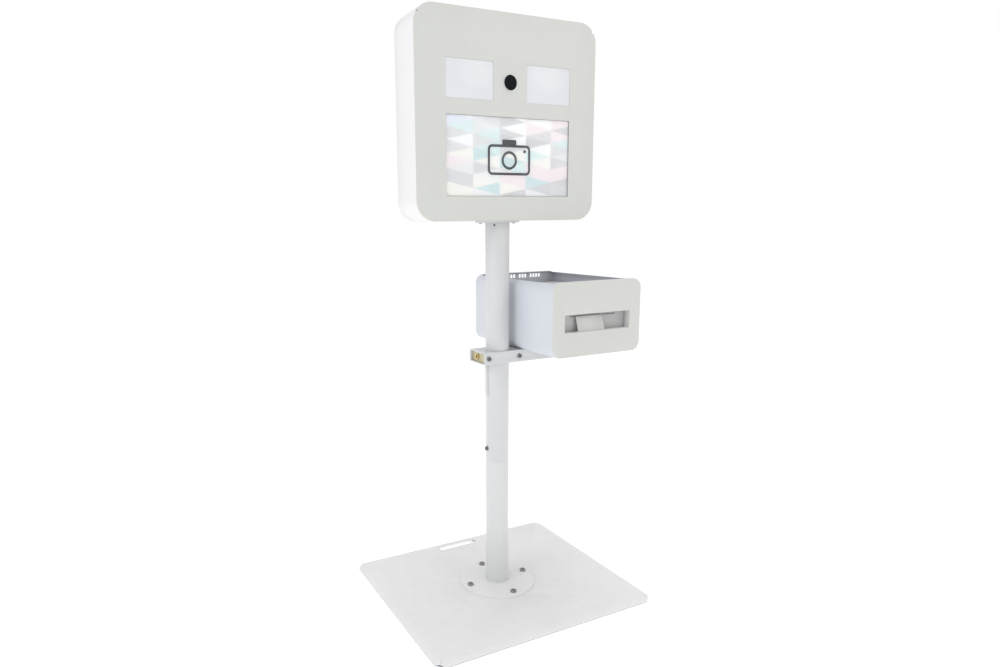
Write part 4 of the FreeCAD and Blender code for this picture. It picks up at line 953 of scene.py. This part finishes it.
def addScrew(name, place):  # button head with a round socket, facing the back
    height = screwForm["height"] * mm
    bpy.ops.mesh.primitive_cylinder_add(
        vertices=32, radius=screwForm["head"] * mm, depth=height,
        location=(place[0], place[1] + height / 2, place[2]), rotation=(math.radians(90), 0, 0))
    piece = startPiece(name)
    editFaces(piece, lambda center, normal: normal.y > 0.9)
    bpy.ops.mesh.inset(thickness=(screwForm["head"] - screwForm["socket"]) * mm)
    bpy.ops.mesh.extrude_region_move(
        TRANSFORM_OT_translate={"value": (0, -screwForm["socketDepth"] * mm, 0)})
    bpy.ops.object.mode_set(mode="OBJECT")
    softEdges(piece, screwForm["edge"] * mm, 3, 50)
    return piece


def hingeScrewPlaces(body, form):
    low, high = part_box(form["node"])
    fromEdge = screwForm["fromEdge"] * mm
    leafX = low[0] + fromEdge if body == "upper" else high[0] - fromEdge
    back = low[1] if body == "upper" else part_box("rear_door")[1][1]
    for level, end, inward in (("Low", low[2], 1), ("High", high[2], -1)):
        for step in (0, 1):
            reach = (form["fromEnd"] + step * form["spacing"]) * mm
            name = "hinge" + form["tag"] + "Screw" + level + str(step + 1)
            yield name, Vector((leafX, back + screwForm["leafSheet"] * mm, end + inward * reach))


def addHingeScrews():  # one screw is modelled, the others are copies of it
    rows = [(body, name, place) for body in ("upper", "door")
            for name, place in hingeScrewPlaces(body, screwForm[body])]
    firstName, firstPlace = rows[0][1:]
    model = addScrew(firstName, firstPlace)
    for body, name, place in rows:
        piece = model if name == firstName else copyPiece(model, name, place - firstPlace)
        finishPiece(piece, body, "zincPlate", 40)


addHingeScrews()

guardForm = {"wire": 0.9, "rings": (12.0, 22.0, 32.0, 40.0), "bars": 4, "proud": 2.4, "barsIn": 1.2}
fanLow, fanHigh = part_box("fan_frame")
fanX = (fanLow[0] + fanHigh[0]) / 2
fanZ = (fanLow[2] + fanHigh[2]) / 2
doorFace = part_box("rear_door")[1][1]


def addFanGuard():
    depth = doorFace + guardForm["proud"] * mm
    parts = []
    for radius in guardForm["rings"]:
        bpy.ops.mesh.primitive_torus_add(
            major_radius=radius * mm, minor_radius=guardForm["wire"] * mm, major_segments=72,
            minor_segments=8, location=(fanX, depth, fanZ), rotation=(math.radians(90), 0, 0))
        parts.append(startPiece("guardRing"))
    for bar in range(guardForm["bars"]):
        bpy.ops.mesh.primitive_cylinder_add(
            vertices=12, radius=guardForm["wire"] * mm, depth=2 * guardForm["rings"][-1] * mm,
            location=(fanX, depth - guardForm["barsIn"] * mm, fanZ),
            rotation=(0, math.radians(45 + 180 * bar / guardForm["bars"]), 0))
        parts.append(startPiece("guardBar"))
    activate(parts[0])
    for part in parts[1:]:
        part.select_set(True)
    bpy.ops.object.join()
    piece = bpy.context.object
    piece.name = "fanGuard"
    piece.data.name = "fanGuard"
    finishPiece(piece, "door", "zincPlate", 60)


addFanGuard()

filterForm = {
    "width": 216.0, "height": 56.0, "thickness": 1.6, "aboveDoorFoot": 45.0, "rim": 2.0,
    "edge": 0.5,
}


def addIntakeFilter():
    low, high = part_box("rear_door")
    thickness = filterForm["thickness"] * mm
    bpy.ops.mesh.primitive_cube_add(
        size=1, location=((low[0] + high[0]) / 2, low[1] - thickness / 2,
                          low[2] + filterForm["aboveDoorFoot"] * mm))
    bpy.context.object.scale = (filterForm["width"] * mm, thickness, filterForm["height"] * mm)
    piece = startPiece("intakeFilter")
    editFaces(piece, lambda center, normal: abs(normal.y) > 0.9)
    bpy.ops.mesh.inset(thickness=filterForm["rim"] * mm)
    bpy.ops.object.mode_set(mode="OBJECT")
    softEdges(piece, filterForm["edge"] * mm, 2)
    finishPiece(piece, "door", "darkMesh")


addIntakeFilter()

grommetForm = {
    "width": 80.0, "height": 45.0, "above": 45.5, "wire": 2.2, "corner": 8.0, "cornerSteps": 8,
    "depth": 5.0, "edge": 0.9,
}


def addGrommet():  # rubber lining of the cable opening in the box's back
    low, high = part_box("box_back_panel")
    place = ((low[0] + high[0]) / 2, (low[1] + high[1]) / 2, low[2] + grommetForm["above"] * mm)
    bpy.ops.mesh.primitive_plane_add(size=1, location=place, rotation=(math.radians(90), 0, 0))
    bpy.context.object.scale = (grommetForm["width"] * mm, grommetForm["height"] * mm, 1)
    piece = startPiece("cableGrommet")
    bpy.ops.object.mode_set(mode="EDIT")
    bpy.ops.mesh.select_mode(type="VERT")
    bpy.ops.mesh.select_all(action="SELECT")
    bpy.ops.mesh.bevel(offset=grommetForm["corner"] * mm, segments=grommetForm["cornerSteps"],
                       affect="VERTICES")
    bpy.ops.mesh.select_mode(type="FACE")
    bpy.ops.mesh.select_all(action="SELECT")
    bpy.ops.mesh.inset(thickness=grommetForm["wire"] * mm)
    bpy.ops.mesh.delete(type="FACE")
    bpy.ops.object.mode_set(mode="OBJECT")
    applyModifier(piece, "SOLIDIFY", thickness=grommetForm["depth"] * mm, offset=0.0)
    softEdges(piece, grommetForm["edge"] * mm, 3)
    finishPiece(piece, "upper", "padRubber")


addGrommet()
print("rear details ready")


# studio floor
floorLook = {"size": 60, "color": (0.90, 0.90, 0.90), "rough": 0.9, "glow": 0.34}


def addFloor():
    bpy.ops.mesh.primitive_plane_add(size=floorLook["size"], location=(0, 0, 0))
    floor = startPiece("studioFloor")
    material = bpy.data.materials.new("studioFloorPaint")
    material.use_nodes = True
    shader = material.node_tree.nodes["Principled BSDF"]
    shader.inputs["Base Color"].default_value = (*floorLook["color"], 1)
    shader.inputs["Roughness"].default_value = floorLook["rough"]
    shader.inputs["Emission Color"].default_value = (1, 1, 1, 1)
    shader.inputs["Emission Strength"].default_value = floorLook["glow"]
    floor.data.materials.append(material)


addFloor()

print("floor laid")
